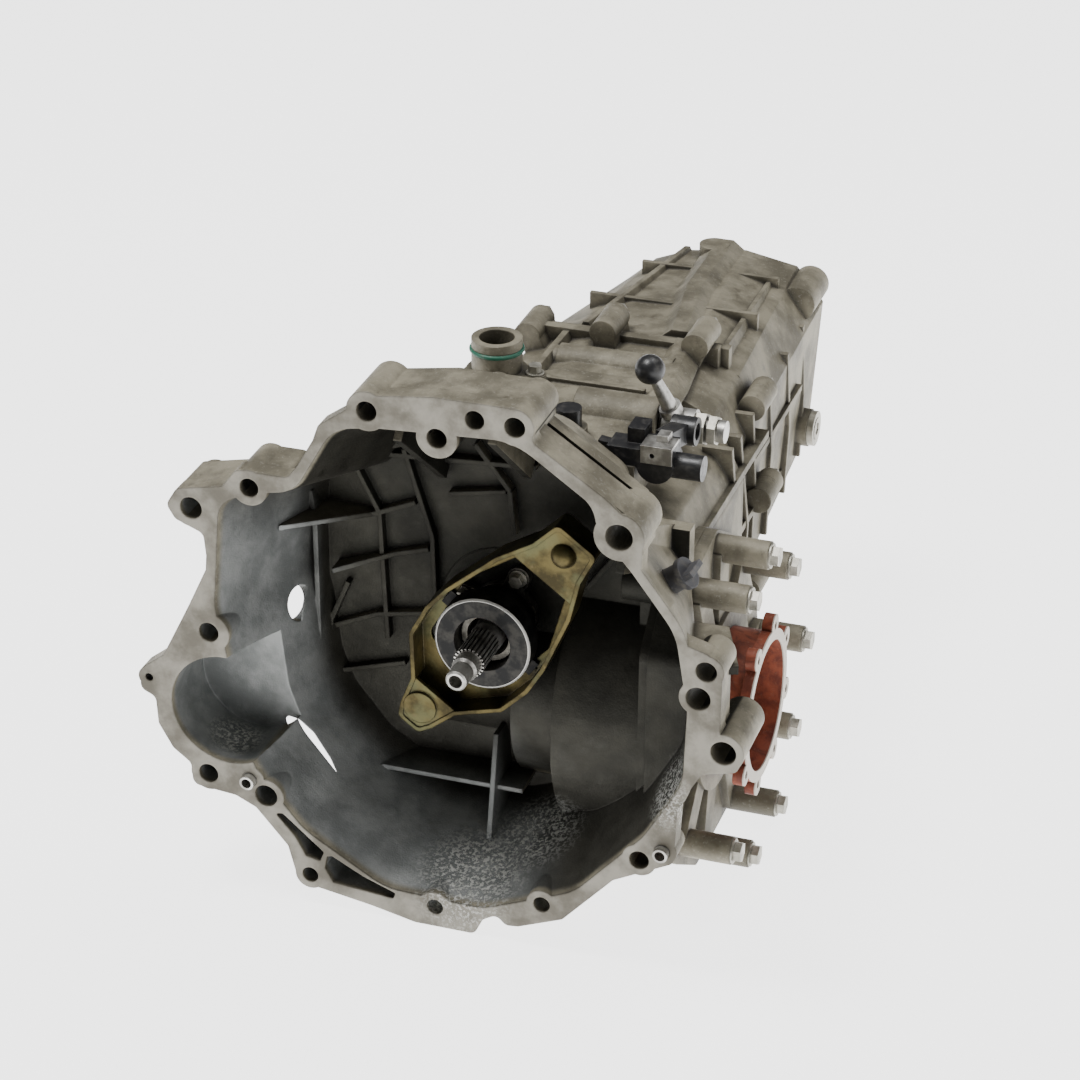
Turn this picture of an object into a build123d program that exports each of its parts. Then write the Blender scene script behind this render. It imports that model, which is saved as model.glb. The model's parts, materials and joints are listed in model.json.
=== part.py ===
from build123d import *
import math
import os

# A five-speed and reverse manual transaxle for an engine that stands lengthwise.
# Frame: the origin is where the input shaft's axis crosses the mating face of the bell
# housing. +Y runs along the shafts to the rear, +X to the differential cover, +Z up.
# Everything is in millimetres.

# ---------------------------------------------------------------- driving dimensions
FIT = 0.05  # radial clearance of a running fit
GAP = 0.3  # gap between faces that slide past each other

SHAFT_DROP = 70.0  # output shaft below input shaft
MODULE = 2.5  # of the forward gears
DIFF_Y = 158.0  # differential axis, along X
DIFF_Z = -70.0
CROWN_TEETH = 33
PINION_TEETH = 10
CROWN_MODULE = 4.0

FLANGE_DEPTH = 14.0  # bell mating flange
BELL_BACK = 112.0  # front side of the wall behind the bell
BELL_SPLIT = 60.0  # where the bell's ring ends and the gear case begins
WALL = 7.0  # cast wall
MAIN_WALL = 261.0  # middle of the wall that holds the front shaft bearings
SEAT_FRONT = 248.0  # the bearing seats in it
SEAT_BACK = 272.0
SPLIT = 330.0  # joint between gear case and rear case
REAR_WALL = 528.0  # inner side of the rear bearing wall
REAR_END = 546.0
COVER_FACE = 128.0  # joint between gear case and differential cover, along X
HUB_FACE = 177.0  # open end of the output hub
HUB_BORE = 47.0

GEAR_WIDTH = 15.0
HUB_WIDTH = 20.0
STATION = {  # middle of each gear or synchroniser along Y
    "first": 294.0,
    "one_two": 316.0,
    "second": 338.0,
    "third": 364.0,
    "three_four": 386.0,
    "fourth": 408.0,
    "fifth": 434.0,
    "five_reverse": 456.0,
    "reverse": 478.0,
}
TEETH = {  # driving wheel on the input shaft, driven wheel on the output shaft
    "first": (13, 43),
    "second": (19, 37),
    "third": (24, 32),
    "fourth": (28, 28),
    "fifth": (32, 24),
    "reverse": (14, 35),
}
REVERSE_IDLER_TEETH = 20
INPUT_CORE = 11.5  # shaft radii
OUTPUT_CORE = 16.0

# Holes in the bell flange: x, z, hole radius, radius of the boss, length of the boss.
FLANGE_HOLES = {
    "lug_left": (-184, 104, 8.0, 14, 47),
    "lug_upper_left": (-141, 126, 6.8, 13, 43),
    "starter_upper": (-176, 10, 7.3, 15, 60),
    "sensor_ear": (-223, -34, 3.0, 8, 9),
    "starter_lower": (-182, -104, 7.3, 13, 26),
    "dowel_left": (-151, -103, 5.4, 11, 20),
    "lower_left": (-139, -114, 8.4, 13, 26),
    "bottom_left": (-108, -173, 6.0, 11, 26),
    "top_left": (-56, 195, 7.1, 14, 50),
    "top_inner": (-8, 183, 7.0, 14, 20),
    "top_middle": (18, 200, 6.6, 12, 50),
    "top_right": (45, 199, 7.1, 13, 50),
    "upper_right": (115, 132, 9.3, 17, 40),
    "right_upper": (175, 44, 7.3, 12, 30),
    "right_middle": (170, 23, 8.5, 13, 30),
    "right_lower": (188, -15, 8.8, 14, 52),
    "lower_right": (132, -110, 7.0, 12, 30),
    "dowel_right": (148, -100, 5.4, 10, 20),
    "bottom_middle": (-15, -180, 6.0, 12, 22),
    "bottom_right": (63, -161, 6.0, 11, 22),
}
FLANGE_OUTLINE = [
    (-196, 94), (-176, 86), (-174, 62), (-190, 28), (-211, -14), (-229, -28),
    (-230, -44), (-219, -49), (-218, -70), (-208, -88), (-195, -98), (-194, -115),
    (-162, -118), (-147, -125), (-124, -152), (-117, -180), (-62, -189),
    (-30, -196), (14, -196), (20, -183), (30, -177), (37, -184), (46, -183),
    (78, -170), (114, -130), (156, -108), (158, -62), (174, -34), (198, -28),
    (202, -10), (185, -2), (186, 46), (176, 57), (158, 62), (149, 84),
    (130, 108), (131, 136), (106, 158), (57, 190), (55, 206), (44, 212),
    (-10, 212), (-64, 205), (-70, 194), (-90, 180), (-97, 160), (-113, 138),
    (-150, 138), (-160, 124), (-194, 117), (-202, 104),
]


# ---------------------------------------------------------------- building blocks
def xz_face(points, y, round_by=0.0):
    """A face in the plane at y from (x, z) points, its corners rounded."""
    if round_by:
        edges = FilletPolyline(*points, radius=corner_radii(points, round_by), close=True)
    else:
        edges = Polyline(*points, close=True)
    return Plane.XZ.offset(-y) * make_face(edges)


def corner_radii(points, wanted):
    """A radius for each corner of a closed outline, smaller where its sides are short."""
    radii = []
    count = len(points)
    for i, corner in enumerate(points):
        before = Vector(*points[i - 1]) - Vector(*corner)
        after = Vector(*points[(i + 1) % count]) - Vector(*corner)
        half_turn = math.radians(180 - before.get_angle(after)) / 2
        room = 0.42 * min(before.length, after.length) / max(math.tan(half_turn), 0.01)
        radii.append(min(wanted, room))
    return radii


def slab(points, y0, y1, round_by=0.0):
    """The (x, z) outline as a slab from y0 back to y1."""
    return extrude(xz_face(points, y1, round_by), amount=y1 - y0)


def tapered(points, y0, y1, centre, scale, round_by=0.0):
    """A slab whose outline shrinks about a centre on the way from y0 to y1."""
    cx, cz = centre
    far = [(cx + scale * (x - cx), cz + scale * (z - cz)) for x, z in points]
    return loft([xz_face(points, y0, round_by), xz_face(far, y1, scale * round_by)],
                ruled=True)


def rod_y(x, z, y0, y1, radius):
    return Pos(x, (y0 + y1) / 2, z) * Rot(90, 0, 0) * Cylinder(radius, y1 - y0)


def rod_x(y, z, x0, x1, radius):
    return Pos((x0 + x1) / 2, y, z) * Rot(0, 90, 0) * Cylinder(radius, x1 - x0)


def rod_z(x, y, z0, z1, radius):
    return Pos(x, y, (z0 + z1) / 2) * Cylinder(radius, z1 - z0)


def ring_y(x, z, y0, y1, outer, inner):
    return rod_y(x, z, y0, y1, outer) - rod_y(x, z, y0 - 1, y1 + 1, inner)


def ring_x(y, z, x0, x1, outer, inner):
    return rod_x(y, z, x0, x1, outer) - rod_x(y, z, x0 - 1, x1 + 1, inner)


def brick(x0, x1, y0, y1, z0, z1):
    middle = Pos((x0 + x1) / 2, (y0 + y1) / 2, (z0 + z1) / 2)
    return middle * Box(x1 - x0, y1 - y0, z1 - z0)


def bar(start, end, width, height):
    """A straight rib of a rectangular section between two points."""
    a = Vector(*start)
    b = Vector(*end)
    across = (b - a).cross(Vector(0, 0, 1))
    if across.length < 1e-6:
        across = Vector(1, 0, 0)
    along = Plane(origin=(a + b) * 0.5, z_dir=b - a, x_dir=across)
    return along * Box(width, height, (b - a).length)


def turned(profile, axis=Axis.Y):
    """A solid of revolution about Y from (radius, y) points."""
    return revolve(Plane.XY * make_face(Polyline(*profile, close=True)), axis)


def all_solids(shape):
    shapes = shape if isinstance(shape, list) else [shape]
    return [solid for one in shapes for solid in one.solids()]


def save(name, shape):
    """Write one node: one solid, or a group of separate solids."""
    solids = all_solids(shape)
    export_step(solids[0] if len(solids) == 1 else Compound(solids), f"parts/{name}.step")


# ---------------------------------------------------------------- gear teeth
ADDENDUM = 0.8
DEDENDUM = 1.1
PRESSURE = math.radians(20)


def half_tooth(radius, pitch_radius, module, backlash):
    """Half of a tooth's angle at a radius, from an involute flank."""
    base = pitch_radius * math.cos(PRESSURE)
    involute = math.tan(PRESSURE) - PRESSURE
    slope = math.acos(min(1.0, base / max(radius, base)))
    thickness = (math.pi * module / 2 - backlash) / (2 * pitch_radius)
    return thickness + involute - (math.tan(slope) - slope)


def gear_outline(teeth, module, phase, backlash=0.35):
    """(x, z) points of a gear with a tooth centred at the phase angle."""
    pitch = module * teeth / 2
    radii = (pitch - DEDENDUM * module, pitch, pitch + ADDENDUM * module)
    halves = [half_tooth(r, pitch, module, backlash) for r in radii]
    points = []
    for n in range(teeth):
        middle = phase + 2 * math.pi * n / teeth
        for r, half in zip(radii, halves):
            points.append((r * math.cos(middle - half), r * math.sin(middle - half)))
        for r, half in zip(reversed(radii), reversed(halves)):
            points.append((r * math.cos(middle + half), r * math.sin(middle + half)))
    return points


def gear_body(x, z, middle, width, teeth, phase, module=MODULE):
    """A toothed wheel with no bore, centred on (x, z)."""
    outline = [(x + u, z + v) for u, v in gear_outline(teeth, module, phase)]
    return slab(outline, middle - width / 2, middle + width / 2)


def phase_of_mate(phase, teeth, mate_teeth, direction):
    """Phase of a wheel so that it meshes with another that lies in the opposite direction."""
    along = (direction - phase) * teeth / (2 * math.pi)
    back = 0.5 - along
    return direction + math.pi - back * 2 * math.pi / mate_teeth


def bevel_tooth(teeth, pitch, cone, module, backlash, face, middle):
    """One straight bevel tooth: its section at the heel, shrunk towards the apex."""
    virtual = pitch / math.cos(cone)
    sections = []
    for scale in (1.0, face):
        left = []
        right = []
        for rise in (-DEDENDUM - 0.25, 0.0, ADDENDUM):
            lift = rise * module
            radius = pitch + lift * math.cos(cone)
            height = pitch / math.tan(cone) - lift * math.sin(cone)
            wide = half_tooth(virtual + lift, virtual, module, backlash) * (virtual + lift)
            for side, points in ((-1, left), (1, right)):
                across = side * wide
                x = radius * math.cos(middle) - across * math.sin(middle)
                y = radius * math.sin(middle) + across * math.cos(middle)
                points.append(Vector(x, y, height) * scale)
        sections.append(make_face(Polyline(*left, *reversed(right), close=True)))
    return loft(sections, ruled=True)


def bevel_gear(teeth, pitch, cone, module, backlash, face, back, phase):
    """A bevel gear about +Z with its apex at the origin and its back at height back."""
    deep = DEDENDUM * module
    root_r = pitch - deep * math.cos(cone)
    root_h = pitch / math.tan(cone) + deep * math.sin(cone)
    profile = [(0, root_h * face), (root_r * face, root_h * face), (root_r, root_h)]
    profile += [(root_r, back), (0, back)]
    body = revolve(Plane.XZ * make_face(Polyline(*profile, close=True)), Axis.Z)
    step = 2 * math.pi / teeth
    wedges = [
        bevel_tooth(teeth, pitch, cone, module, backlash, face, phase + n * step)
        for n in range(teeth)
    ]
    return body + wedges


# ---------------------------------------------------------------- shared seats
INPUT_BEARING_R = 27.0
OUTPUT_BEARING_R = 38.0
DIFF_BEARING_R = 38.0
DIFF_JOURNAL_R = 20.0
NECK_BORE = 14.0
SELECTOR_R = 8.0
SELECTOR_Y = 209.0
SELECTOR_Z = 112.0
GUIDE_R = 19.0
GUIDE_FLANGE_R = 24.0
SPIGOT_R = 21.0
GUIDE_SCREWS = [(32 * math.cos(a), 32 * math.sin(a)) for a in (1.22, 2.79, 4.1)]
RAIL = (62.0, 42.0)  # axis of the shift rail, in x and z
RAIL_R = 7.0
IDLER_X = 40.08
IDLER_Z = -14.14


# ---------------------------------------------------------------- gear case
BELL_MOUTH = [
    (-48, 184), (-80, 179), (-109, 128), (-136, 123), (-164, 112), (-171, 30), (-164, -4),
    (-158, -60), (-146, -94), (-112, -136), (-52, -172), (20, -174), (86, -146),
    (134, -92), (161, -46), (163, 12), (154, 68), (124, 108), (101, 134), (97, 152),
    (44, 189),
]
MOUTH_ROUND = 45.0
BELL_CENTRE = (8, -14)
BELL_SHRINK = 0.80
BOSS_INSIDE = 22.0  # how far the flange bosses reach into the bell
STARTER = (-165, -50)  # axis of the starter motor's pocket
STARTER_RADIUS = 42.0

MID_SECTION = [
    (-82, -150), (-82, 52), (-60, 104), (-8, 118), (66, 118), (82, 90), (114, 80),
    (128, 50), (128, -150), (96, -166), (-50, -166),
]
GEAR_SECTION = [
    (-74, -134), (-74, 54), (-54, 104), (-30, 111), (-6, 116), (66, 116), (104, 98), (118, 64),
    (116, -52), (92, -104), (50, -138), (-50, -138),
]
REAR_SECTION = [  # the same corners at the rear end, where the shoulders slope in
    (-66, -126), (-66, 42), (-44, 69), (-24, 87), (4, 98), (50, 104), (92, 96), (114, 69),
    (106, -46), (86, -98), (46, -131), (-46, -131),
]
REAR_CENTRE = (30, -20)


def flange_bosses():
    return [
        rod_y(x, z, 0, depth, boss)
        for x, z, hole, boss, depth in FLANGE_HOLES.values()
    ]


def flange_drillings():
    return [
        rod_y(x, z, -1, depth + 1, hole)
        for x, z, hole, boss, depth in FLANGE_HOLES.values()
    ]


def bell_shell():
    return tapered(inset_of(BELL_MOUTH, -WALL), 0, BELL_BACK + WALL, BELL_CENTRE,
                   BELL_SHRINK, MOUTH_ROUND)


def bell_outside():
    """Mating flange, tapering shell, starter pocket and the thick block along the top."""
    top_block = [(-66, 190), (-60, 203), (-10, 211), (43, 211), (53, 205), (56, 188),
                 (30, 150), (-50, 150)]
    upper_left = [(-113, 124), (-116, 137), (-148, 137), (-158, 124), (-196, 116),
                  (-196, 96), (-150, 90)]
    right_web = [(150, 40), (184, 44), (184, -3), (198, -10), (197, -26), (150, -40)]
    upper_right = [(44, 198), (130, 141), (131, 118), (96, 120), (40, 165)]
    ridge = [(50, 191), (123, 142), (100, 120), (40, 160)]
    lower_left = [(-190, -96), (-190, -112), (-150, -118), (-121, -150), (-114, -177),
                  (-30, -190), (-40, -160), (-100, -130), (-140, -90)]
    return [
        slab(FLANGE_OUTLINE, 0, FLANGE_DEPTH, 6),
        bell_shell(),
        rod_y(*STARTER, 0, 60, STARTER_RADIUS + 7),
        slab(top_block, 2, 50, 5),
        slab(upper_left, 2, 44, 5),
        slab(right_web, 2, 28, 5),
        slab(upper_right, 2, 29, 4),
        slab(ridge, 37, 48, 4),
        slab(lower_left, 2, 38, 6),
        *flange_bosses(),
    ]


def flange_pockets():
    """Two deep pockets between the bell's wall and the lower left rim."""
    upper = [(-133, -127), (-127, -126), (-97, -152), (-100, -160), (-111, -158), (-119, -143)]
    lower = [(-95, -155), (-91, -154), (-68, -166), (-44, -175), (-46, -180), (-91, -176),
             (-97, -165)]
    return [slab(outline, -1, 34, 1.5) for outline in (upper, lower)]


def bell_hollow():
    return [
        slab(BELL_MOUTH, -1, 1, MOUTH_ROUND),
        tapered(BELL_MOUTH, 0, BELL_BACK, BELL_CENTRE, BELL_SHRINK, MOUTH_ROUND),
        rod_y(*STARTER, -1, 54, STARTER_RADIUS),
    ]


CROWN_HOUSING = [(0, 4), (50, 4), (74, 11.5), (75, 56), (0, 56)]  # radius and x
CROWN_SPACE = [(0, 9), (44, 9), (68.4, 16.4), (68.6, 61), (0, 61)]
BEARING_HOUSING_R = 101.0
BEARING_HOUSING_X = 50.0
CARRIER_SPACE_R = 47.0
BALL_STUD = (-47, -60)  # pivot of the release lever, in x and z
BALL_Y = 72.0


def about_differential(profile):
    """A solid of revolution about the differential's axis from (radius, x) points."""
    shape = revolve(Plane.XZ * make_face(Polyline(*profile, close=True)), Axis.Z)
    return differential_place() * shape


def differential_place():
    return Plane(origin=(0, DIFF_Y, DIFF_Z), x_dir=(0, 1, 0), z_dir=(1, 0, 0))


def wall_ribs(front_edge, thickness=3.5):
    """Flat ribs on the wall behind the bell, one for each stretch of a line of (x, y, z)."""
    back = BELL_BACK + 1
    ribs = []
    for (x0, y0, z0), (x1, y1, z1) in zip(front_edge, front_edge[1:]):
        outline = Polyline((x0, y0, z0), (x1, y1, z1), (x1, back, z1), (x0, back, z0), close=True)
        ribs.append(extrude(make_face(outline), amount=thickness / 2, both=True))
    return ribs


RIB_Y = 105.0  # front edge of the low ribs on the wall behind the bell
UPRIGHT_RIBS = [
    [(-137, 92, 80), (-134, 92, 57), (-134, 92, -94)],
    [(-110, RIB_Y, 101), (-91, RIB_Y, 64), (-87, RIB_Y, -35)],
    [(-72, RIB_Y, 116), (-52, RIB_Y, 51), (-51, RIB_Y, 3)],
    [(-20, RIB_Y, 128), (5, RIB_Y, 96), (8, RIB_Y, 63)],
    [(-116, RIB_Y, 5), (-130, RIB_Y, -28), (-131, RIB_Y, -58)],
    [(-1, 90, -89), (4, 59, -157)],
]
CROSS_RIBS = [
    [(-122, 96, 106), (-61, RIB_Y, 124)],
    [(-87, RIB_Y, 110), (24, RIB_Y, 117)],
    [(-147, 60, 65), (-96, RIB_Y, 62), (-64, RIB_Y, 76)],
    [(-39, RIB_Y, 87), (2, RIB_Y, 95)],
    [(-124, 96, 17), (-81, RIB_Y, 33), (-55, RIB_Y, 41)],
    [(-127, RIB_Y, -32), (-94, RIB_Y, -17), (-56, RIB_Y, -10)],
    [(-140, 84, -66), (-129, RIB_Y, -70), (-74, RIB_Y, -53)],
    [(60, RIB_Y, 30), (104, RIB_Y, 92)],
    [(-84, 80, -126), (22, 80, -126)],
]


def bell_inner_details():
    """Ribs, flange bosses, the differential's bulge and the seats of the release parts."""
    back = BELL_BACK
    ribs = [rib for edge in UPRIGHT_RIBS + CROSS_RIBS for rib in wall_ribs(edge)]
    bosses = [
        rod_y(x, z, 0, min(depth, BOSS_INSIDE), boss)
        for x, z, hole, boss, depth in FLANGE_HOLES.values()
    ]
    return ribs + bosses + [
        about_differential(CROWN_HOUSING),
        rod_x(DIFF_Y, DIFF_Z, BEARING_HOUSING_X, COVER_FACE, BEARING_HOUSING_R),
        rod_x(DIFF_Y, DIFF_Z, -46, 20, CARRIER_SPACE_R + 7),
        rod_y(-176, 10, 0, 60, 13),
        rod_y(0, 0, back - 1, back + WALL, 48),
        rod_y(*BALL_STUD, back - 12, back + WALL, 12),
    ]


def case_hollows():
    """The wet space around the differential, the gear space and the shaft bores."""
    front = BELL_BACK + WALL + 2
    return [
        slab(inset_of(MID_SECTION, WALL), front, MAIN_WALL - 5),
        slab(inset_of(GEAR_SECTION, WALL), MAIN_WALL + 5, SPLIT + 1),
        rod_x(DIFF_Y, DIFF_Z, BEARING_HOUSING_X + 5, COVER_FACE + 1, BEARING_HOUSING_R - 7),
        rod_y(0, 0, 98.5, BELL_BACK - 1, GUIDE_FLANGE_R + 1),
        yz_slab(inset_of(COVER_OUTLINE, -3), COVER_FACE, 210, 14),
    ]


def inset_of(points, distance):
    """The outline moved inwards by a distance, corner by corner."""
    count = len(points)
    moved = []
    for i, (x, z) in enumerate(points):
        before = Vector(*points[i]) - Vector(*points[i - 1])
        after = Vector(*points[(i + 1) % count]) - Vector(*points[i])
        a = before.normalized()
        b = after.normalized()
        side = 1 if outline_area(points) > 0 else -1
        across = Vector(-a.Y - b.Y, a.X + b.X).normalized() * side
        cos_half = math.sqrt((1 + a.dot(b)) / 2)
        moved.append((x + across.X * distance / cos_half, z + across.Y * distance / cos_half))
    return moved


def outline_area(points):
    """Twice the signed area of an outline."""
    count = len(points)
    return sum(
        points[i][0] * points[(i + 1) % count][1] - points[(i + 1) % count][0] * points[i][1]
        for i in range(count)
    )


REAR_FLANGE_BOLTS = [(-82, -118), (-84, -40), (-82, 40), (-52, 117), (6, 127), (76, 126),
                     (120, 84), (127, 10), (121, -66), (88, -122), (10, -148)]
BOLT_R = 4.2  # clearance hole of an M8 bolt
BOLT_LAND = 14.0  # length of the bolt bosses behind the joint
BOSS_FRONT = 22.0  # and in front of it
COVER_BOLTS = [(218, 10), (269, -77), (240, -135), (207, -182), (134, -180), (84, -146),
               (107, 41), (160, 48)]  # y and z of the bolts of the differential cover
COVER_OUTLINE = [(160, 62), (103, 55), (60, 12), (57, -116), (72, -158), (128, -194),
                 (214, -195), (252, -142), (283, -82), (278, -62), (229, 22)]
COVER_LIFT = 47.0  # the bolts stand on tall bosses
FEET_Z = -196.0  # what the gearbox stands on


def yz_slab(points, x0, x1, round_by=0.0):
    """A slab from a (y, z) outline, between two values of x."""
    edges = FilletPolyline(*points, radius=corner_radii(points, round_by), close=True)
    return extrude(Plane.YZ.offset(x0) * make_face(edges), amount=x1 - x0)


def section_at(y):
    """The rear case's outline at y, between the gear section and the rear section."""
    along = max(0.0, y - SPLIT) / (REAR_END - SPLIT)
    return [
        (x + along * (u - x), z + along * (w - z))
        for (x, z), (u, w) in zip(GEAR_SECTION, REAR_SECTION)
    ]


def long_ridge(line, width, height):
    """A raised ridge with sloping sides along a line of (x, y, z) points on its crest."""
    parts = []
    for (x0, y0, z0), (x1, y1, z1) in zip(line, line[1:]):
        ends = [
            [(x - width, z - height), (x - width / 3, z), (x + width / 3, z), (x + width, z - height)]
            for x, z in ((x0, z0), (x1, z1))
        ]
        parts.append(loft([xz_face(ends[0], y0), xz_face(ends[1], y1)], ruled=True))
    return parts


def bowed_rib(x, line, width=20, thickness=4):
    """A rib on the right side that follows a bowed line of (y, z) points."""
    return [
        bar((x, y0, z0), (x, y1, z1), width, thickness)
        for (y0, z0), (y1, z1) in zip(line, line[1:])
    ]


def case_ribs():
    """Stiffening ribs and lands on the outside, in front of the joint with the rear case."""
    long_ribs = [
        *long_ridge([(70, 227, 121), (70, 262, 122), (62, SPLIT, 122)], 15, 10),
        *long_ridge([(-28, 118, 122), (-26, SPLIT, 119)], 7, 12),
        brick(100, 134, 100, 112, -20, 90),
        brick(118, 128, 112, SPLIT, 52, 58),
        brick(108, 124, 262, SPLIT, -2, 4),
    ]
    cross_ribs = [brick(-50, 60, 237, 241, 108, 121), brick(-50, 90, SPLIT - 8, SPLIT, 90, 121)]
    side_ribs = [
        *bowed_rib(116, [(232, 88), (240, 60), (262, 20), (266, -56)], 22),
        *bowed_rib(114, [(262, 84), (276, 40), (290, 0), (282, -56)], 22),
        *bowed_rib(114, [(300, 84), (312, 20), (304, -56)], 20),
    ]
    struts = [
        bar((20, 110, 128), (20, 40, 186), 6, 40),
        bar((-44, 118, 112), (-46, 40, 176), 6, 36),
        bar((120, 124, 66), (112, 20, 112), 6, 30),
        bar((140, 110, 30), (176, 20, 34), 30, 6),
    ]
    return long_ribs + cross_ribs + side_ribs + struts


def boss_web(x, z, y0, y1):
    """The solid between a bolt boss and the wall beside it."""
    cx, cz = REAR_CENTRE
    inwards = Vector(cx - x, cz - z).normalized() * 18
    middle = (y0 + y1) / 2
    return bar((x, middle, z), (x + inwards.X, middle, z + inwards.Y), y1 - y0, 16)


def cover_pocket():
    """The wall that closes the bell where the differential cover reaches into its outline."""
    block = yz_slab(inset_of(COVER_OUTLINE, -9), COVER_FACE - 8, 200, 14)
    return block & bell_shell()


BRACKET_SEAT = 117.0  # height of the pad under the linkage bracket
CROSS_TUBE = (290, 110)  # y and z of the blind tube across the top
SWITCH = (215, 10)  # y and z of the reversing lamp's switch, on the left side


def cross_tube():
    """A thick tube cast across the top, open at its left end."""
    y, z = CROSS_TUBE
    return [rod_x(y, z, -20, 66, 13), rod_x(y, z, -24, -14, 11)]


def switch_boss():
    y, z = SWITCH
    return [rod_x(y, z, -96, -78, 13)]


def case_outside():
    mid = slab(MID_SECTION, BELL_BACK, MAIN_WALL, 8)
    gear = slab(GEAR_SECTION, MAIN_WALL - 4, SPLIT, 8)
    joint = [slab(GEAR_SECTION, SPLIT - 12, SPLIT, 8)]
    joint += [rod_y(x, z, SPLIT - BOSS_FRONT, SPLIT, 10) for x, z in REAR_FLANGE_BOLTS]
    joint += [boss_web(x, z, SPLIT - BOSS_FRONT, SPLIT) for x, z in REAR_FLANGE_BOLTS]
    side = [yz_slab(COVER_OUTLINE, 112, COVER_FACE, 14)]
    side += [rod_x(y, z, 88, COVER_FACE, 13) for y, z in COVER_BOLTS]
    top = [
        rod_z(-36, 197, 100, 138, 25),
        rod_z(-8, 197, 100, 138, 9),
        rod_z(30, 157, 100, 126, 13),
        rod_x(SELECTOR_Y, SELECTOR_Z, 20, 81, 18),
        brick(62, 86, 128, 162, 78, BRACKET_SEAT),
        *cross_tube(),
        *switch_boss(),
    ]
    feet = [brick(x - 16, x + 16, 292, 324, FEET_Z, -120) for x in (-44, 70)]
    return [mid, gear, *joint, *side, *top, *feet, *case_ribs()]


def pinion_window():
    """A slanting crescent through the wall, where the starter's pinion meets the clutch."""
    outline = [(-149, -84), (-138, -86), (-127, -95), (-115, -114), (-110, -126), (-111, -137),
               (-118, -132), (-131, -119), (-144, -100)]
    inside = xz_face(outline, WINDOW_Y, 6)
    return extrude(inside, amount=70, dir=WINDOW_SLANT) + extrude(inside, amount=12,
                                                                 dir=WINDOW_SLANT * -1)


WINDOW_Y = 60.0
WINDOW_SLANT = Vector(-0.337, 0.781, -0.525)


def casting():
    """The one-piece casting of bell and gear case."""
    case = Part() + bell_outside()
    case -= bell_hollow()
    case += bell_inner_details() + case_outside() + [cover_pocket()]
    case -= case_hollows()
    case -= flange_drillings() + flange_pockets()
    bearing_boss = [
        rod_x(DIFF_Y, DIFF_Z, LEFT_WALL, -46, 46),
        rod_y(0, 0, BELL_BACK - 1, BELL_BACK + 14, 46),
        rod_y(0, 0, SEAT_FRONT, SEAT_BACK, INPUT_BEARING_R + 8),
        rod_y(0, -SHAFT_DROP, SEAT_FRONT, SEAT_BACK, OUTPUT_BEARING_R + 8),
    ]
    case += bearing_boss
    holes = [
        about_differential(CROWN_SPACE),
        rod_x(DIFF_Y, DIFF_Z, -40, 20, CARRIER_SPACE_R),
        rod_y(0, 0, BELL_BACK - 6, BELL_BACK + 30, SPIGOT_R),
        *[rod_y(x, z, 98.5, BELL_BACK - 1, 13) for x, z in GUIDE_SCREWS],
        PLUG_PLACE * Cylinder(PLUG_R, 60),
        PLUG_PLACE * Pos(0, 0, 10) * Cylinder(PLUG_R + 3, 20),
        rod_y(0, 0, SEAT_FRONT - 1, SEAT_BACK + 1, INPUT_BEARING_R),
        rod_y(0, -SHAFT_DROP, SEAT_FRONT - 1, SEAT_BACK + 1, OUTPUT_BEARING_R),
        rod_x(DIFF_Y, DIFF_Z, -66, -30, DIFF_BEARING_R),
        rod_x(DIFF_Y, DIFF_Z, -86, -30, 24),
        rod_x(*CROSS_TUBE, -30, 30, 6.5),
        rod_z(-36, 197, 90, 140, NECK_BORE),
        rod_z(-8, 197, 126, 139, 2.5),
        rod_z(30, 157, 108, 128, 5),
        rod_x(SELECTOR_Y, SELECTOR_Z, 18, 86, SELECTOR_R + FIT),
        rod_x(SELECTOR_Y, SELECTOR_Z, 26, 52, 14),
        brick(26, 52, SELECTOR_Y - 14, SELECTOR_Y + 14, 96, SELECTOR_Z),
        rod_y(*RAIL, MAIN_WALL - 2, MAIN_WALL + 6, RAIL_R),
        rod_x(*SWITCH, -100, -66, 7),
        rod_y(*BALL_STUD, BELL_BACK - 13, BELL_BACK + 2, 5),
        *[rod_y(x, z, SPLIT - 20, SPLIT + 1, 4) for x, z in REAR_FLANGE_BOLTS],
        *[rod_x(y, z, COVER_FACE - 22, COVER_FACE + 1, 4) for y, z in COVER_BOLTS],
        *[rod_y(x, z, BELL_BACK - 2, BELL_BACK + 10, 2.5) for x, z in GUIDE_SCREWS],
        rod_x(78, -2, -200, -140, 13),
        pinion_window(),
    ]
    return case - holes


def front_and_back(case):
    """The casting parted at one plane: the bell's ring, and the gear case behind it."""
    reach = 400
    front = brick(-reach, reach, -50, BELL_SPLIT, -reach, reach)
    return case & front, case - front


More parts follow.
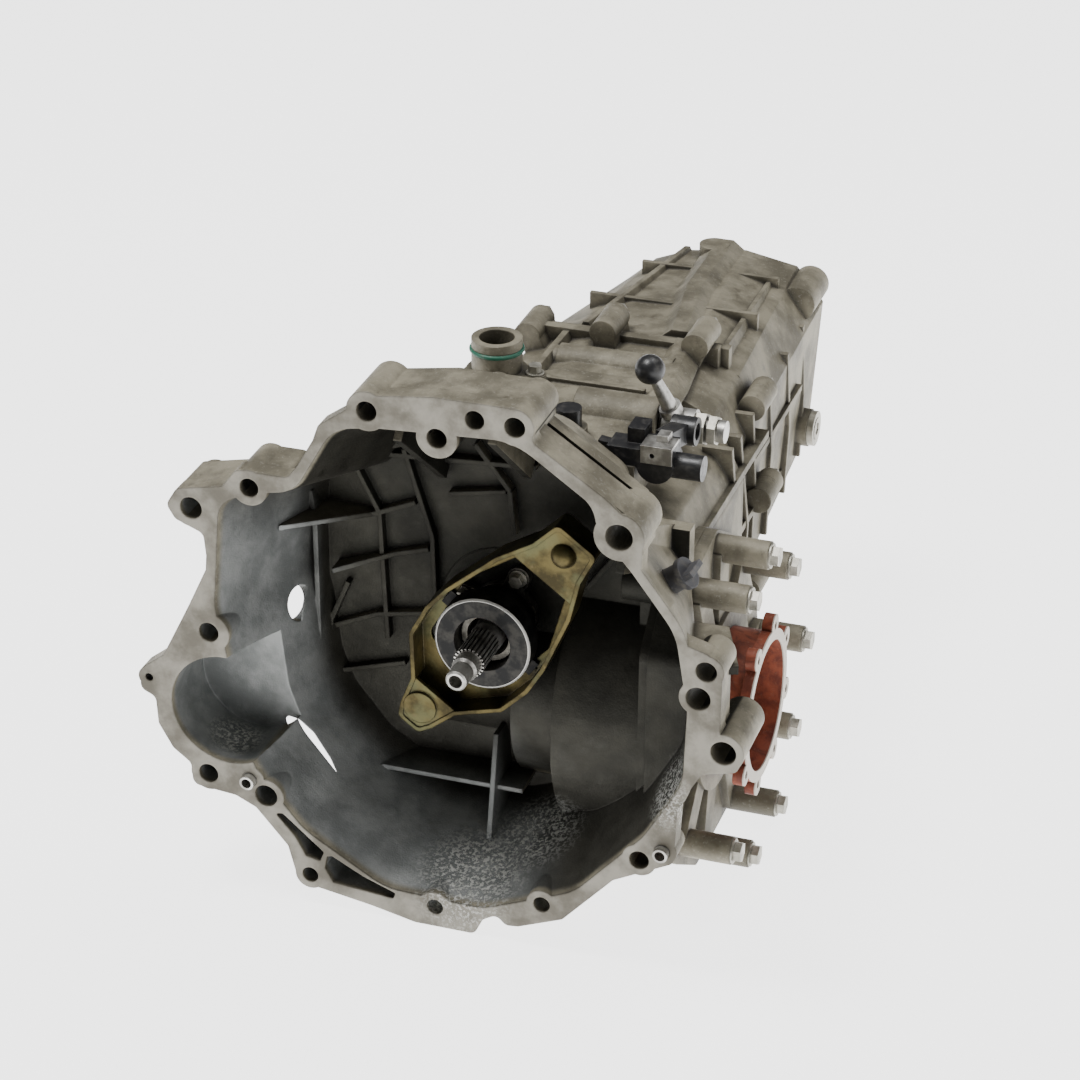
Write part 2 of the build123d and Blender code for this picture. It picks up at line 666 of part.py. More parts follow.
# ---------------------------------------------------------------- rear case and covers
def rear_case():
    outer = loft([xz_face(section_at(SPLIT), SPLIT), xz_face(section_at(REAR_END), REAR_END)],
                 ruled=True)
    inner = loft([xz_face(inset_of(section_at(SPLIT), WALL - 1), SPLIT),
                  xz_face(inset_of(section_at(REAR_WALL), WALL - 1), REAR_WALL)], ruled=True)
    ribs = [
        *long_ridge([(54, SPLIT + 14, 121), (38, 440, 116), (34, REAR_END, 111)], 17, 9),
        *long_ridge([(-18, SPLIT + 14, 118), (-8, 440, 110), (2, REAR_END, 101)], 6, 8),
        *long_ridge([(88, SPLIT + 14, 112), (82, 500, 102)], 5, 10),
        brick(-50, 96, SPLIT, SPLIT + 8, 86, 118),
        brick(-36, 96, 410, 414, 84, 112),
        brick(-20, 90, 494, 498, 80, 106),
        brick(96, 118, SPLIT, 470, 26, 31),
        brick(92, 114, SPLIT, 440, -30, -25),
        *bowed_rib(110, [(366, 78), (378, 20), (370, -50)], 18),
        *bowed_rib(108, [(426, 76), (440, 10), (430, -44)], 18),
        *bowed_rib(106, [(484, 74), (496, 10), (488, -40)], 16),
    ]
    bosses = [rod_y(x, z, SPLIT, SPLIT + BOLT_LAND, 10) for x, z in REAR_FLANGE_BOLTS]
    bosses += [boss_web(x, z, SPLIT, SPLIT + BOLT_LAND) for x, z in REAR_FLANGE_BOLTS]
    bosses += [rod_z(28, 532, 84, 112, 12), rod_x(500, -20, 86, 119, 15)]
    bosses += [rod_y(104, 84, 500, REAR_END, 14)]
    feet = [brick(x - 14, x + 14, 336, 366, -168, -120) for x in (-34, 60)]
    case = Part() + [outer, *ribs, *bosses, *feet] - inner
    case += [rod_y(0, 0, REAR_WALL - 12, REAR_WALL + 1, 34),
             rod_y(0, -SHAFT_DROP, REAR_WALL - 12, REAR_WALL + 1, 44)]
    case += [rod_y(x, z, REAR_END - 34, REAR_END, 10) for x, z in REAR_COVER_BOLTS]
    holes = [
        rod_y(0, 0, REAR_WALL - 14, REAR_END + 1, INPUT_BEARING_R),
        rod_y(0, -SHAFT_DROP, REAR_WALL - 14, REAR_END + 1, OUTPUT_BEARING_R),
        rod_y(*RAIL, REAR_WALL - 1, REAR_WALL + 7, RAIL_R),
        rod_y(IDLER_X, IDLER_Z, REAR_WALL - 14, REAR_WALL + 6.1, 9),
        rod_y(104, 84, REAR_END - 12, REAR_END + 1, 5),
        rod_x(500, -20, 76, 120, 9),
        *[rod_y(x, z, SPLIT - 1, SPLIT + 30, BOLT_R) for x, z in REAR_FLANGE_BOLTS],
        *[rod_y(x, z, SPLIT + BOLT_LAND, SPLIT + BOLT_LAND + 12, 10) for x, z in REAR_FLANGE_BOLTS],
        *[rod_y(x, z, REAR_END - 32, REAR_END + 1, 4) for x, z in REAR_COVER_BOLTS],
    ]
    return case - holes


REAR_COVER_OUTLINE = [(-44, -104), (-52, -40), (-44, 34), (-14, 50), (28, 44), (48, 6),
                      (58, -64), (44, -112), (0, -136)]
REAR_COVER_BOLTS = [(-45, -95), (-49, -10), (-6, 44), (42, 20), (51, -92), (-2, -124)]


def rear_cover():
    """Closes the rear bearings: a domed plate with two raised caps."""
    plate = slab(REAR_COVER_OUTLINE, REAR_END, REAR_END + 7, 10)
    caps = [rod_y(0, 0, REAR_END, REAR_END + 14, 31),
            rod_y(0, -SHAFT_DROP, REAR_END, REAR_END + 14, 42)]
    ears = [rod_y(x, z, REAR_END, REAR_END + 9, 10) for x, z in REAR_COVER_BOLTS]
    recess = [rod_y(0, 0, REAR_END - 1, REAR_END + 8, 24),
              rod_y(0, -SHAFT_DROP, REAR_END - 1, REAR_END + 8, 35)]
    drilled = [rod_y(x, z, REAR_END - 1, REAR_END + 20, BOLT_R) for x, z in REAR_COVER_BOLTS]
    return Part() + [plate, *caps, *ears] - recess - drilled


def differential_cover():
    """The bolted cover with tall bolt bosses, ribs and the seat of the output hub."""
    face = COVER_FACE
    plate = yz_slab(COVER_OUTLINE, face, face + 9, 14)
    bosses = [rod_x(y, z, face, face + COVER_LIFT, 10) for y, z in COVER_BOLTS]
    collar = rod_x(DIFF_Y, DIFF_Z, face, face + 18, 66)
    spokes = []
    for y, z in COVER_BOLTS:
        start = (face + 12, DIFF_Y + 0.5 * (y - DIFF_Y), DIFF_Z + 0.5 * (z - DIFF_Z))
        spokes.append(bar(start, (face + 12, y, z), 6, 22))
    bearing_boss = rod_x(DIFF_Y, DIFF_Z, 88, face + 1, 48)
    cuts = [
        rod_x(DIFF_Y, DIFF_Z, 70, face + 6, DIFF_BEARING_R),
        rod_x(DIFF_Y, DIFF_Z, face + 5, face + 20, HUB_BORE + 5),
        *[rod_x(y, z, face - 1, face + COVER_LIFT + 1, BOLT_R) for y, z in COVER_BOLTS],
    ]
    return Part() + [plate, *bosses, collar, *spokes, bearing_boss] - cuts


HUB_HOLES = [math.radians(28 + 45 * n) for n in range(8)]
HUB_PCD_R = 58.0


LEFT_BORE = 36.0
LEFT_WALL = -82.0  # the gear case's left side


def left_output_hub():
    """The neck on the left side that takes the other drive flange."""
    neck = rod_x(DIFF_Y, DIFF_Z, LEFT_WALL - 36, LEFT_WALL, LEFT_BORE + 14)
    rim = rod_x(DIFF_Y, DIFF_Z, LEFT_WALL - 36, LEFT_WALL - 26, LEFT_BORE + 22)
    cuts = [
        rod_x(DIFF_Y, DIFF_Z, LEFT_WALL - 37, LEFT_WALL - 10, LEFT_BORE),
        rod_x(DIFF_Y, DIFF_Z, LEFT_WALL - 11, LEFT_WALL + 1, LEFT_BORE - 1),
        brick(-200, 0, 0, BELL_BACK + WALL + FIT, -200, 0),
    ]
    return Part() + [neck, rim] - cuts


def output_hub():
    """Open cup on the differential cover that takes the drive flange; eight bolt lugs."""
    inner = COVER_FACE + 6
    neck = rod_x(DIFF_Y, DIFF_Z, inner, HUB_FACE, HUB_BORE + 5)
    lip = rod_x(DIFF_Y, DIFF_Z, HUB_FACE - 8, HUB_FACE, HUB_BORE + 8)
    shape = Part() + [neck, lip]
    holes = []
    for angle in HUB_HOLES:
        y = DIFF_Y + HUB_PCD_R * math.cos(angle)
        z = DIFF_Z + HUB_PCD_R * math.sin(angle)
        shape += rod_x(y, z, HUB_FACE - 8, HUB_FACE, 8)
        holes.append(rod_x(y, z, HUB_FACE - 9, HUB_FACE + 1, 3.0))
    shape -= rod_x(DIFF_Y, DIFF_Z, inner + 8, HUB_FACE + 1, HUB_BORE)
    shape -= rod_x(DIFF_Y, DIFF_Z, inner - 1, HUB_FACE, 30)
    return shape - holes


# ---------------------------------------------------------------- fasteners
def hex_bolt(length, radius=4.0, head=7.5, height=7.0):
    """A flanged hexagon bolt: the head stands on z = 0, the shank points to -Z."""
    top = extrude(RegularPolygon(head, 6), amount=height)
    return Part() + [top, Pos(0, 0, 0.75) * Cylinder(head + 1.5, 1.5),
                     Pos(0, 0, -length / 2) * Cylinder(radius, length)]


def bolts_along_x(places, head_x, length, shank):
    turn = Rot(0, 90, 0)
    return [Pos(head_x, y, z) * turn * hex_bolt(length, shank) for y, z in places]


def bolts_along_y(places, head_y, length, shank, towards=1, head=7.5):
    turn = Rot(-90, 0, 0) if towards > 0 else Rot(90, 0, 0)
    return [Pos(x, head_y, z) * turn * hex_bolt(length, shank, head) for x, z in places]


# ---------------------------------------------------------------- shafts
def spline(radius, teeth, y0, y1, depth=1.6):
    """Straight splines cut into a rod."""
    rod = rod_y(0, 0, y0, y1, radius)
    width = math.pi * radius / teeth
    groove = Pos(radius, 0, 0) * Rot(0, 0, 0) * Box(2 * depth, y1 - y0 + 2, width)
    groove = Pos(0, (y0 + y1) / 2, 0) * groove
    return rod - [Rot(0, 360 * n / teeth, 0) * groove for n in range(teeth)]


def input_shaft():
    nose = turned([(0, 7), (6.3, 7), (7.5, 8.2), (7.5, 22), (9.2, 24), (9.2, 34), (0, 34)])
    core = turned([(0, 62), (9.4, 62), (10.5, 66), (INPUT_CORE, 70), (INPUT_CORE, 540),
                   (0, 540)])
    fixed = [
        gear_body(0, 0, STATION["first"], GEAR_WIDTH, TEETH["first"][0], math.pi / 2),
        gear_body(0, 0, STATION["second"], GEAR_WIDTH, TEETH["second"][0], math.pi / 2),
        rod_y(0, 0, SEAT_FRONT - 12, SEAT_FRONT, 18),
    ]
    shaft = Part() + [nose, spline(11, 23, 33, 64), core, *fixed]
    return shaft - rod_y(0, 0, 6, 25, 4.8)


def driven_phase(name):
    """The driven wheel's phase below the driving wheel, which has a tooth at the top."""
    drive, driven = TEETH[name]
    return phase_of_mate(math.pi / 2, drive, driven, -math.pi / 2)


def output_shaft():
    pinion_pitch = CROWN_MODULE * PINION_TEETH / 2
    cone = math.atan(PINION_TEETH / CROWN_TEETH)
    head = bevel_gear(PINION_TEETH, pinion_pitch, cone, CROWN_MODULE, 0.8, 0.72, 86,
                      math.pi / PINION_TEETH)
    head = Plane(origin=(0, DIFF_Y, DIFF_Z), x_dir=(1, 0, 0), z_dir=(0, 1, 0)) * head
    core = turned([(0, 236), (20, 236), (20, SEAT_BACK + 8),
                   (OUTPUT_CORE, SEAT_BACK + 8), (OUTPUT_CORE, 540), (0, 540)])
    return Part() + [head, Pos(0, 0, -SHAFT_DROP) * core]


# ---------------------------------------------------------------- gears
def dog_ring(z, near, far):
    return rod_y(0, z, min(near, far), max(near, far), DOG_R)


DOG_R = 25.8
SYNCHRO = {"first": 1, "second": -1, "third": 1, "fourth": -1, "fifth": 1, "reverse": -1}


def idle_gear(name):
    """A wheel that turns freely on its shaft, with a dog ring towards its synchroniser."""
    drive, driven = TEETH[name]
    side = SYNCHRO[name]
    on_output = name in ("first", "second")
    z = -SHAFT_DROP if on_output else 0
    core = OUTPUT_CORE if on_output else INPUT_CORE
    teeth = driven if on_output else drive
    if name == "reverse":
        phase = reverse_phases()[0]
    else:
        phase = driven_phase(name) if on_output else math.pi / 2
    middle = STATION[name]
    face = middle + side * GEAR_WIDTH / 2
    wheel = gear_body(0, z, middle, GEAR_WIDTH, teeth, phase)
    wheel += dog_ring(z, face, face + side * 2)
    return wheel - rod_y(0, z, middle - 12, middle + 12, core + FIT)


def driven_gear_cluster():
    """The four driven wheels that are pressed on the output shaft as one piece."""
    names = ("third", "fourth", "fifth", "reverse")
    cluster = rod_y(0, -SHAFT_DROP, STATION["third"], STATION["reverse"], 21)
    for name in names:
        phase = reverse_phases()[2] if name == "reverse" else driven_phase(name)
        cluster += gear_body(0, -SHAFT_DROP, STATION[name], GEAR_WIDTH, TEETH[name][1], phase)
    front = STATION["third"] - GEAR_WIDTH
    rear = STATION["reverse"] + GEAR_WIDTH
    return cluster - rod_y(0, -SHAFT_DROP, front, rear, OUTPUT_CORE)


def reverse_phases():
    """Phases of the reverse driving wheel, the idler and the driven wheel."""
    drive, driven = TEETH["reverse"]
    to_idler = math.atan2(IDLER_Z, IDLER_X)
    idler = phase_of_mate(math.pi / 2, drive, REVERSE_IDLER_TEETH, to_idler)
    to_driven = math.atan2(-SHAFT_DROP - IDLER_Z, -IDLER_X)
    last = phase_of_mate(idler, REVERSE_IDLER_TEETH, driven, to_driven)
    return math.pi / 2, idler, last


def reverse_idler_gear():
    wheel = gear_body(IDLER_X, IDLER_Z, STATION["reverse"], GEAR_WIDTH, REVERSE_IDLER_TEETH,
                      reverse_phases()[1])
    return wheel - rod_y(IDLER_X, IDLER_Z, 460, 500, 9 + FIT)


# ---------------------------------------------------------------- synchronisers
SLEEVE_R = 34.0
SLEEVE_WIDTH = 16.0
HUB_R = 26.0


def synchro_hub(z, middle, core):
    hub = ring_y(0, z, middle - HUB_WIDTH / 2, middle + HUB_WIDTH / 2, HUB_R, core)
    for y0, y1 in ((middle - 11, middle - 5), (middle + 5, middle + 11)):
        hub -= ring_y(0, z, y0, y1, 23, 18.5)
    return hub


def synchro_sleeve(z, middle):
    half = SLEEVE_WIDTH / 2
    ring = ring_y(0, z, middle - half, middle + half, SLEEVE_R, HUB_R + FIT)
    return ring - ring_y(0, z, middle - 3.6, middle + 3.6, SLEEVE_R + 1, 30)


def synchro_rings(z, middle):
    return [ring_y(0, z, middle + side * 10.4 - 0.1, middle + side * 12.0 + 0.1, 25.6, 19)
            if side > 0 else
            ring_y(0, z, middle - 12.1, middle - 10.3, 25.6, 19) for side in (-1, 1)]


def fork(z, middle, arm_to):
    """A shift fork: a half yoke in the sleeve's groove, an arm and a hub on the rail."""
    rail_x, rail_z = RAIL
    yoke = ring_y(0, z, middle - 3.2, middle + 3.2, 42, 30.4)
    keep = rod_y(arm_to[0], arm_to[1], middle - 4, middle + 4, 44)
    yoke = yoke & keep
    arm = bar((arm_to[0], middle, arm_to[1]), (rail_x, middle, rail_z), 6.4, 14)
    arm -= rod_y(0, z, middle - 5, middle + 5, 38)
    hub = rod_y(rail_x, rail_z, middle - 16, middle + 16, 12)
    return Part() + [yoke, arm, hub] - rod_y(rail_x, rail_z, middle - 20, middle + 20,
                                            RAIL_R + FIT)


# ---------------------------------------------------------------- differential
SIDE_TEETH = 16
SPIDER_TEETH = 10
SIDE_MODULE = 3.0
CARRIER_R = 44.0


def crown_wheel():
    pitch = CROWN_MODULE * CROWN_TEETH / 2
    cone = math.atan(CROWN_TEETH / PINION_TEETH)
    wheel = bevel_gear(CROWN_TEETH, pitch, cone, CROWN_MODULE, 0.8, 0.72, 38, 0)
    holes = [Pos(56 * math.cos(a), 56 * math.sin(a), 32) * Cylinder(4, 16)
             for a in (math.pi * n / 5 for n in range(10))]
    return differential_place() * (wheel - Cylinder(CARRIER_R, 100) - holes)


def crown_bolts():
    return [
        differential_place() * Pos(56 * math.cos(a), 56 * math.sin(a), 46) * hex_bolt(18, 4, 6, 5)
        for a in (math.pi * n / 5 for n in range(10))
    ]


def differential_carrier():
    shell = [(14.2, -66), (DIFF_JOURNAL_R, -66), (DIFF_JOURNAL_R, -44), (28, -40), (CARRIER_R, -36),
             (CARRIER_R, 38), (66, 38), (66, 46), (44, 46), (30, 50), (DIFF_JOURNAL_R, 56),
             (DIFF_JOURNAL_R, 112), (14.2, 112)]
    body = revolve(Plane.XZ * make_face(Polyline(*shell, close=True)), Axis.Z)
    body -= Cylinder(34, 62)
    body -= Rot(90, 0, 0) * Cylinder(8, 120)
    holes = [Pos(56 * math.cos(a), 56 * math.sin(a), 42) * Cylinder(4, 20)
             for a in (math.pi * n / 5 for n in range(10))]
    windows = Box(120, 40, 38)
    return differential_place() * (body - holes - windows)


def differential_gears():
    """Left and right side gears, and the two spider gears on the cross pin."""
    side_pitch = SIDE_MODULE * SIDE_TEETH / 2
    spider_pitch = SIDE_MODULE * SPIDER_TEETH / 2
    cone = math.atan(SIDE_TEETH / SPIDER_TEETH)
    side = bevel_gear(SIDE_TEETH, side_pitch, cone, SIDE_MODULE, 0.7, 0.68, 26, 0)
    side -= Cylinder(11, 100)
    spider = bevel_gear(SPIDER_TEETH, spider_pitch, math.pi / 2 - cone, SIDE_MODULE, 0.7, 0.68,
                        31, math.pi / SPIDER_TEETH)
    spider -= Cylinder(8 + FIT, 100)
    apex = Vector(0, DIFF_Y, DIFF_Z)
    right = Plane(origin=apex, x_dir=(0, 1, 0), z_dir=(1, 0, 0)) * side
    left = Plane(origin=apex, x_dir=(0, 1, 0), z_dir=(-1, 0, 0)) * side
    upper = Plane(origin=apex, x_dir=(1, 0, 0), z_dir=(0, 0, 1)) * spider
    lower = Plane(origin=apex, x_dir=(1, 0, 0), z_dir=(0, 0, -1)) * spider
    return left, right, upper, lower


# ---------------------------------------------------------------- clutch release
LEVER_ALONG = Vector(0.599, 0, 0.801)  # from the ball stud to the push end
LEVER_PLANE = Plane(origin=(0, 0, 0), x_dir=(0.599, 0, 0.801), z_dir=(0, -1, 0))
LEVER_FRONT = 62.0
LEVER_BACK = 83.0
LEVER_OUTLINE = [(-94, -9), (-84, -14), (-62, -20), (-34, -42), (-8, -46), (14, -44), (60, -33),
                 (88, -21), (112, -17), (112, 17), (88, 21), (60, 33), (14, 44), (-8, 46),
                 (-34, 42), (-62, 20), (-84, 14), (-94, 9)]


def lever_slab(points, y0, y1, round_by=0.0):
    """A slab of the release lever, its outline along and across the lever."""
    edges = FilletPolyline(*points, radius=corner_radii(points, round_by), close=True)
    face = LEVER_PLANE.offset(-y1) * make_face(edges)
    return extrude(face, amount=y1 - y0)


def release_lever():
    """Pressed steel lever: a tray around the bearing, a ball pocket and a push end."""
    body = lever_slab(LEVER_OUTLINE, LEVER_FRONT, LEVER_BACK, 5)
    tray = lever_slab(inset_of(LEVER_OUTLINE, 3), LEVER_FRONT - 1, LEVER_BACK - 3, 4)
    raised = [(-60, -26), (-60, 26), (-120, 26), (-120, -26)]
    push = [(70, -34), (70, 34), (130, 34), (130, -34)]
    lever = Part() + (body - tray)
    lever += lever_slab(inset_of(LEVER_OUTLINE, 1), LEVER_FRONT + 1, LEVER_FRONT + 4, 4) & (
        Part() + [lever_slab(raised, 0, 100), lever_slab(push, 0, 100)])
    bx, bz = BALL_STUD
    along = LEVER_PLANE * Pos(96, 0, 0)
    lever += rod_y(bx, bz, LEVER_FRONT - 1, BALL_Y + 2, 12)
    lever += Pos(along.position.X, LEVER_FRONT + 2, along.position.Z) * Sphere(9)
    window = [(-37, -31), (-37, 31), (20, 37), (64, 20), (64, -20), (20, -37)]
    lever -= lever_slab(window, LEVER_FRONT - 5, LEVER_BACK + 5, 8)
    lever -= Pos(bx, BALL_Y, bz) * Sphere(BALL_R + FIT)
    lever -= rod_y(bx, bz, BALL_Y, LEVER_BACK + 5, BALL_R + FIT)
    pads = [
        LEVER_PLANE * Pos(0, side * 37.5, -80) * Rot(90, 0, 0) * Cylinder(1.4, 6)
        for side in (-1, 1)
    ]
    return lever + pads


BALL_R = 7.0


def pivot_ball_stud():
    bx, bz = BALL_STUD
    return Part() + [
        Pos(bx, BALL_Y, bz) * Sphere(BALL_R),
        rod_y(bx, bz, BALL_Y + 3, BELL_BACK - 12, 4.5),
        rod_y(bx, bz, BALL_Y + 19, BALL_Y + 28, 8),
        rod_y(bx, bz, BELL_BACK - 13, BELL_BACK + 2, 5),
    ]


def lever_spring():
    """Flat spring clipped on the lever that keeps it on the ball stud."""
    bx, bz = BALL_STUD
    plate = ring_y(bx, bz, LEVER_BACK + GAP, LEVER_BACK + 1.3, 13, 7.5)
    slot = LEVER_PLANE * Pos(-76, 0, -83) * Box(40, 6, 12)
    tongue = LEVER_PLANE * Pos(-94, 0, -LEVER_BACK - 0.8) * Box(12, 16, 1)
    return Part() + [plate, tongue] - slot


def guide_sleeve():
    tube = rod_y(0, 0, 72, BELL_BACK - 1, GUIDE_R)
    flange = rod_y(0, 0, BELL_BACK - 7, BELL_BACK - 1, GUIDE_FLANGE_R)
    spigot = rod_y(0, 0, BELL_BACK - 2, BELL_BACK + 8, SPIGOT_R)
    ears = [rod_y(x, z, BELL_BACK - 7, BELL_BACK - 1, 8) for x, z in GUIDE_SCREWS]
    ears += [bar((0, BELL_BACK - 4, 0), (x, BELL_BACK - 4, z), 6, 16) for x, z in GUIDE_SCREWS]
    sleeve = Part() + [tube, flange, spigot, *ears]
    sleeve -= rod_y(0, 0, 60, BELL_BACK + 10, 15)
    return sleeve - [rod_y(x, z, 90, 120, 2.5) for x, z in GUIDE_SCREWS]


def release_carrier():
    body = ring_y(0, 0, 77, 98, 26, GUIDE_R + FIT)
    flange = ring_y(0, 0, 77, 78.4, 34, GUIDE_R + FIT)
    wings = [LEVER_PLANE * Pos(0, side * 35, -77.7) * Box(12, 9, 1.4) for side in (-1, 1)]
    return Part() + [body, flange, *wings]


def release_race():
    """The rotating ring that the clutch fingers press on."""
    return turned([(20.4, 60), (33.4, 60), (34.6, 61.2), (34.6, 76.6), (31, 76.6), (31, 70),
                   (24, 70), (24, 76.6), (21.5, 76.6), (20.4, 74)])


# ---------------------------------------------------------------- gear selection
LEVER_X = 94.0
SHIFT_BALL = (78.0, 189.0, 161.5)
SHIFT_BALL_R = 10.5


def selector_shaft():
    x_end = 128
    shaft = rod_x(SELECTOR_Y, SELECTOR_Z, 22, x_end, SELECTOR_R)
    finger = brick(30, 46, SELECTOR_Y - 5, SELECTOR_Y + 5, SELECTOR_Z - 34, SELECTOR_Z)
    finger += rod_x(SELECTOR_Y, SELECTOR_Z, 28, 48, 13)
    return Part() + [shaft, finger - rod_x(SELECTOR_Y, SELECTOR_Z, 27, 49, SELECTOR_R - 1)]


def lever_stalk():
    """The tapering stalk from the selector shaft up to the middle of the ball."""
    start = Vector(LEVER_X - 2, SELECTOR_Y - 4, SELECTOR_Z + 8)
    end = Vector(*SHIFT_BALL)
    along = Plane(origin=start, z_dir=end - start)
    length = (end - start).length
    return along * Pos(0, 0, length / 2) * Cone(6.5, 3.4, length), along


def shift_lever():
    """Clamped on the selector shaft, with a collar at the foot of its stalk."""
    hub = rod_x(SELECTOR_Y, SELECTOR_Z, 84, 106, 13)
    stalk, along = lever_stalk()
    collar = along * Pos(0, 0, 8) * Cylinder(8, 6)
    lever = Part() + [hub, stalk, collar]
    return lever - rod_x(SELECTOR_Y, SELECTOR_Z, 80, 110, SELECTOR_R)


def shift_ball():
    stalk, along = lever_stalk()
    return Pos(*SHIFT_BALL) * Sphere(SHIFT_BALL_R) - stalk


def selector_nuts():
    turn = Rot(0, 90, 0)
    return [
        Pos(x, SELECTOR_Y, SELECTOR_Z) * turn
        * (extrude(RegularPolygon(radius, 6), amount=width) - Cylinder(SELECTOR_R, 40))
        for x, radius, width in ((106, 12, 8), (116, 11, 6))
    ]


def reversing_switch():
    """Screwed into the boss on the left side, with a plug socket."""
    y, z = SWITCH
    body = rod_x(y, z, -102, -80, 7)
    nut = Pos(-104, y, z) * Rot(0, 90, 0) * extrude(RegularPolygon(12, 6), amount=8)
    cap = rod_x(y, z, -122, -104, 9) - rod_x(y, z, -124, -108, 6.5)
    return Part() + [body, nut, cap]


def linkage_bracket():
    """Moulded bracket in front of the selector shaft that holds the linkage pivot."""
    seat = BRACKET_SEAT
    blocks = [
        brick(66, 90, 129, 150, seat, seat + 13),
        brick(78, 90, 138, 156, seat, seat + 24),
        bar((57, 141, seat + 8), (70, 141, seat + 6), 8, 8),
        rod_y(100, seat + 2, 129, 152, 13),
        brick(90, 112, 130, 150, seat + 2, seat + 16),
        rod_x(138, seat + 1, 108, 132, 9),
        bar((100, 148, seat + 12), (106, 176, seat + 8), 12, 14),
    ]
    eye = rod_x(178, seat + 8, 98, 116, 10) - rod_x(178, seat + 8, 106, 117, 6)
    return Part() + blocks + [eye]


def linkage_clip():
    """Folded steel clip over the front of the bracket, with a small lug on top."""
    x0, x1 = 91, 113
    y0 = 125.0
    z1 = BRACKET_SEAT + 18.5
    front = brick(x0, x1, y0, y0 + 2, z1 - 13, z1)
    top = brick(x0, x1, y0, y0 + 18, z1 - 2, z1)
    lug = brick(x0 + 9, x0 + 17, y0 + 8, y0 + 18, z1 - 1, z1 + 5)
    return Part() + [front, top, lug] - rod_y(x0 + 8, z1 - 7, y0 - 1, y0 + 4, 1.8)


# ---------------------------------------------------------------- top fittings
def neck_tube():
    tube = rod_z(-36, 197, 139, 166, 18) + rod_z(-36, 197, 130, 140, NECK_BORE)
    flange = rod_z(-36, 197, 138, 142, 22)
    ear = brick(-36, -6, 190, 204, 138, 142) + rod_z(-8, 197, 138, 142, 8)
    groove = rod_z(-36, 197, 156, 159.4, 20) - rod_z(-36, 197, 155, 160, 16.2)
    tube = Part() + [tube, flange, ear] - groove
    return tube - rod_z(-36, 197, 120, 170, 12.5) - rod_z(-8, 197, 130, 145, 2.5)


def neck_seal():
    return Pos(-36, 197, 157.7) * Torus(17.9, 1.65)


def breather_cap():
    return Part() + [rod_z(30, 157, 112, 130, 5), rod_z(30, 157, 126.2, 140, 9)]


PLUG_PLACE = Plane(origin=(146, 44, 88), x_dir=(0, 1, 0), z_dir=(0.80, -0.05, 0.60))
PLUG_R = 9.0


def inspection_plug():
    disc = Pos(0, 0, 2) * Cylinder(PLUG_R + 2, 4)
    stem = Pos(0, 0, -5) * Cylinder(PLUG_R, 12)
    wing = Pos(0, 0, 7) * Box(20, 4, 8)
    return PLUG_PLACE * (Part() + [disc, stem, wing])


def oil_plugs():
    turn = Rot(0, 90, 0)
    plug = Part() + [Cylinder(8.9, 22), Pos(0, 0, 8) * Cylinder(14, 5)]
    plug -= Pos(0, 0, 10) * extrude(RegularPolygon(5.5, 6), amount=4)
    return [Pos(113.5, 500, -20) * turn * plug]


# ---------------------------------------------------------------- bearings and seals
def bearing_profile(inner, outer, y0, y1):
    groove = 0.25 * (outer - inner)
    middle = (outer + inner) / 2
    return [(inner, y0), (middle - groove, y0), (middle - groove, y0 + 1.5),
            (middle + groove, y0 + 1.5), (middle + groove, y0), (outer, y0), (outer, y1),
            (middle + groove, y1), (middle + groove, y1 - 1.5), (middle - groove, y1 - 1.5),
            (middle - groove, y1), (inner, y1)]


def input_bearings():
    return [turned(bearing_profile(INPUT_CORE + FIT, INPUT_BEARING_R, y, y + 16))
            for y in (SEAT_FRONT + 3, REAR_WALL - 8)]


def tapered_bearings():
    """Two bearings of the output shaft and two of the differential, one size outside."""
    front = turned(bearing_profile(DIFF_JOURNAL_R + FIT, OUTPUT_BEARING_R, SEAT_FRONT + 1,
                                   SEAT_FRONT + 21))
    rear = turned(bearing_profile(OUTPUT_CORE + FIT, OUTPUT_BEARING_R, REAR_WALL - 8,
                                  REAR_WALL + 12))
    rings = [Pos(0, 0, -SHAFT_DROP) * front, Pos(0, 0, -SHAFT_DROP) * rear]
    for start in (-65.5, 92):
        ring = bearing_profile(DIFF_JOURNAL_R + FIT, DIFF_BEARING_R, start, start + 20)
        rings.append(about_differential(ring))
    return rings


def output_seals():
    return [
        ring_x(DIFF_Y, DIFF_Z, COVER_FACE - 6, COVER_FACE + 5.9, DIFF_BEARING_R, 22),
        ring_x(DIFF_Y, DIFF_Z, LEFT_WALL - 8, LEFT_WALL - 1, LEFT_BORE - 1, 22),
    ]


def shift_rail():
    return rod_y(*RAIL, MAIN_WALL - 2, REAR_WALL + 7, RAIL_R)


def reverse_idler_shaft():
    return rod_y(IDLER_X, IDLER_Z, MAIN_WALL + 210, REAR_WALL + 6, 9)


def cross_pin():
    return rod_z(0, DIFF_Y, DIFF_Z - CARRIER_R + 1, DIFF_Z + CARRIER_R - 1, 8)


def dowel_sleeves():
    """Hollow dowels: a pressed seat in the flange and a nose that stands 6 mm out of it."""
    profile = [(3.6, -6), (5.0, -6), (5.2, -5.8), (5.2, -0.8), (4.9, -0.5), (4.9, 0.5),
               (5.4, 0.5), (5.4, 8), (3.6, 8)]
    return [Pos(FLANGE_HOLES[name][0], 0, FLANGE_HOLES[name][1]) * turned(profile)
            for name in ("dowel_left", "dowel_right")]


